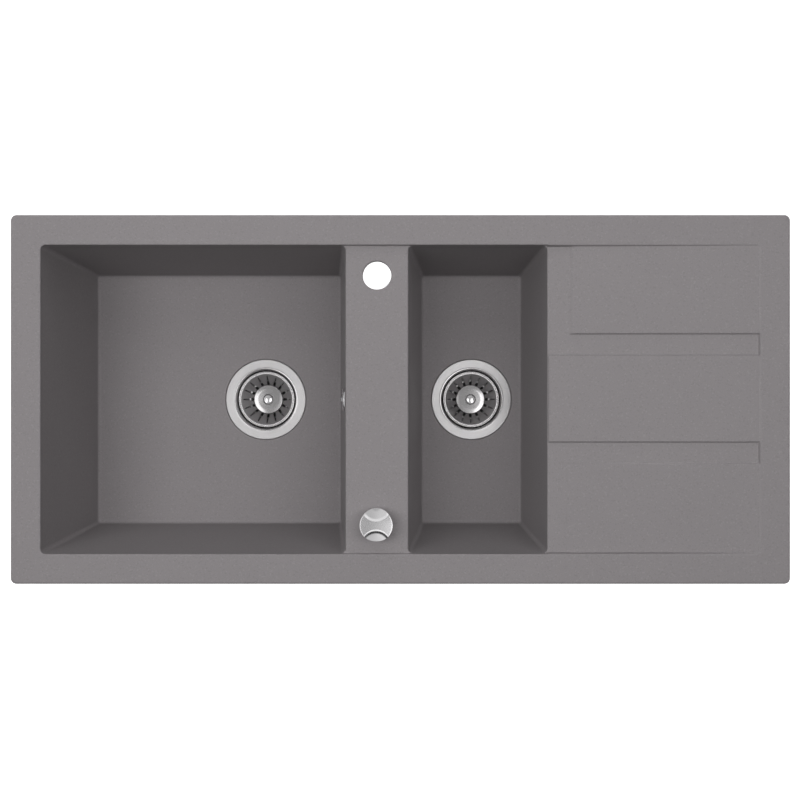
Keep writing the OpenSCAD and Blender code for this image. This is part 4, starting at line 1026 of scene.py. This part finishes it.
# Lamps: name, place and size in metres, power in watts
for lamp in (
    ("back_low", (0, 1.6, 0.7), (2.0, 0.6), 4.1),
    ("back_high", (0, 1.2, 1.6), (2.0, 0.8), 5.0),
    ("left", (-0.8, 0.1, 1.9), (0.7, 1.4), 18.4),
    ("right", (0.8, 0.1, 1.9), (0.7, 1.4), 12.6),
    ("left_low", (-1.9, 0.3, 0.75), (0.6, 1.6), 1.0),
    ("ceiling", (0, 0, 2.2), (1.2, 1.2), 2.5),
):
    softbox(*lamp)


def mirrored_room(x, y, z):
    """Brightness that gloss mirrors in the direction x, y, z: pale walls and two side panels.

    The panels lie by the slopes x/z and y/z. Each is a product of soft steps of the slopes, and so is the
    fill that brightens the front to the right. Behind and in front of the panels the walls brighten to the
    left. Near the horizon the left is bright, the right and the back are a little brighter, and the front
    is dim.
    """
    horizon = 0.02
    up = x.nodes.node("ShaderNodeMath", {"operation": "MAXIMUM"}, {0: z, 1: horizon})
    across, back = x / up, y / up
    leftwards = 0 - across
    left = leftwards.band((0.185, 0.225), (0.42, 0.50))
    right = across.band((0.10, 0.15), (0.36, 0.44))
    panels = (left * 0.96 + right * 1.12) * back.band((-0.42, -0.34), (0.09, 0.13)) * z.step(0.02, 0.1)
    fill = across.step(-0.14, 0.08) * back.band((-0.4, -0.2), (-0.10, -0.05))
    behind = back.step(0.20, 0.26)
    before = 1 - back.step(-0.52, -0.44)
    beyond = leftwards.step(-0.9, 1.1) * (behind * 0.16 + before * 0.22) + before * 0.06
    low_left = (0 - x).step(0.72, 0.95) * 0.9
    low_right = x.step(0.4, 0.8) * 0.15
    low_back = y.step(0.45, 0.75) * 0.34
    low_front = (0 - y).step(0.3, 0.6) * 0.52
    low = 1 - z.step(0.20, 0.32)
    sloping = 1 - z.step(0.84, 0.94)
    walls = 0.42 + sloping * 0.16 + low * (low_left + low_right + low_back - low_front)
    return walls + panels * 1.9 + fill * 0.36 + beyond * (1 - low)


def studio():
    """World with a white backdrop for the camera, the mirrored room for gloss and a dim even light."""
    even_light = 0.03
    white = (1, 1, 1, 1)
    world = bpy.data.worlds.new("studio")
    world.use_nodes = True
    room = NodeTree(world.node_tree)
    direction = room.node("ShaderNodeTexCoord", {}, {}, "Generated")
    x, y, z = (room.node("ShaderNodeSeparateXYZ", {}, {"Vector": direction}, axis) for axis in "XYZ")
    backdrop = room.tree.nodes["Background"]
    backdrop.inputs["Color"].default_value = white
    backdrop.inputs["Strength"].default_value = even_light
    light = Number(room, backdrop.outputs[0])
    for ray, strength in (("Is Glossy Ray", mirrored_room(x, y, z)), ("Is Camera Ray", 1.0)):
        seen = room.node("ShaderNodeLightPath", {}, {}, ray)
        brighter = room.node("ShaderNodeBackground", {}, {"Color": white, "Strength": strength})
        light = room.node("ShaderNodeMixShader", {}, {0: seen, 1: light, 2: brighter})
    room.tree.links.new(light.socket, room.tree.nodes["World Output"].inputs["Surface"])
    bpy.context.scene.world = world


studio()
bpy.context.scene.view_settings.view_transform = "Standard"

# The photograph is PHOTO_PX wide and shows the rim's length in RIM_PX of them, from HEIGHT above the rim.
# The rim's outline lies EDGE_R lower, and the picture's middle is SHIFT_PX from the camera's axis.
PHOTO_PX = 800
RIM_PX = 778.9
SHIFT_PX = (-12.95, -0.74)
MM_PER_PX = RIM_L / RIM_PX
HEIGHT = 1300
CAMERA_AT = (15.3, 0.2, RIM_H + HEIGHT)
SENSOR = 36
camera_data = bpy.data.cameras.new("camera")
camera_data.sensor_width = SENSOR
camera_data.lens = SENSOR * (HEIGHT + EDGE_R) / (PHOTO_PX * MM_PER_PX)
camera_data.shift_x = SHIFT_PX[0] / PHOTO_PX
camera_data.shift_y = SHIFT_PX[1] / PHOTO_PX
camera_data.clip_start = 0.05
camera = bpy.data.objects.new("camera", camera_data)
camera.location = Vector(CAMERA_AT) * MM
bpy.context.scene.collection.objects.link(camera)
bpy.context.scene.camera = camera
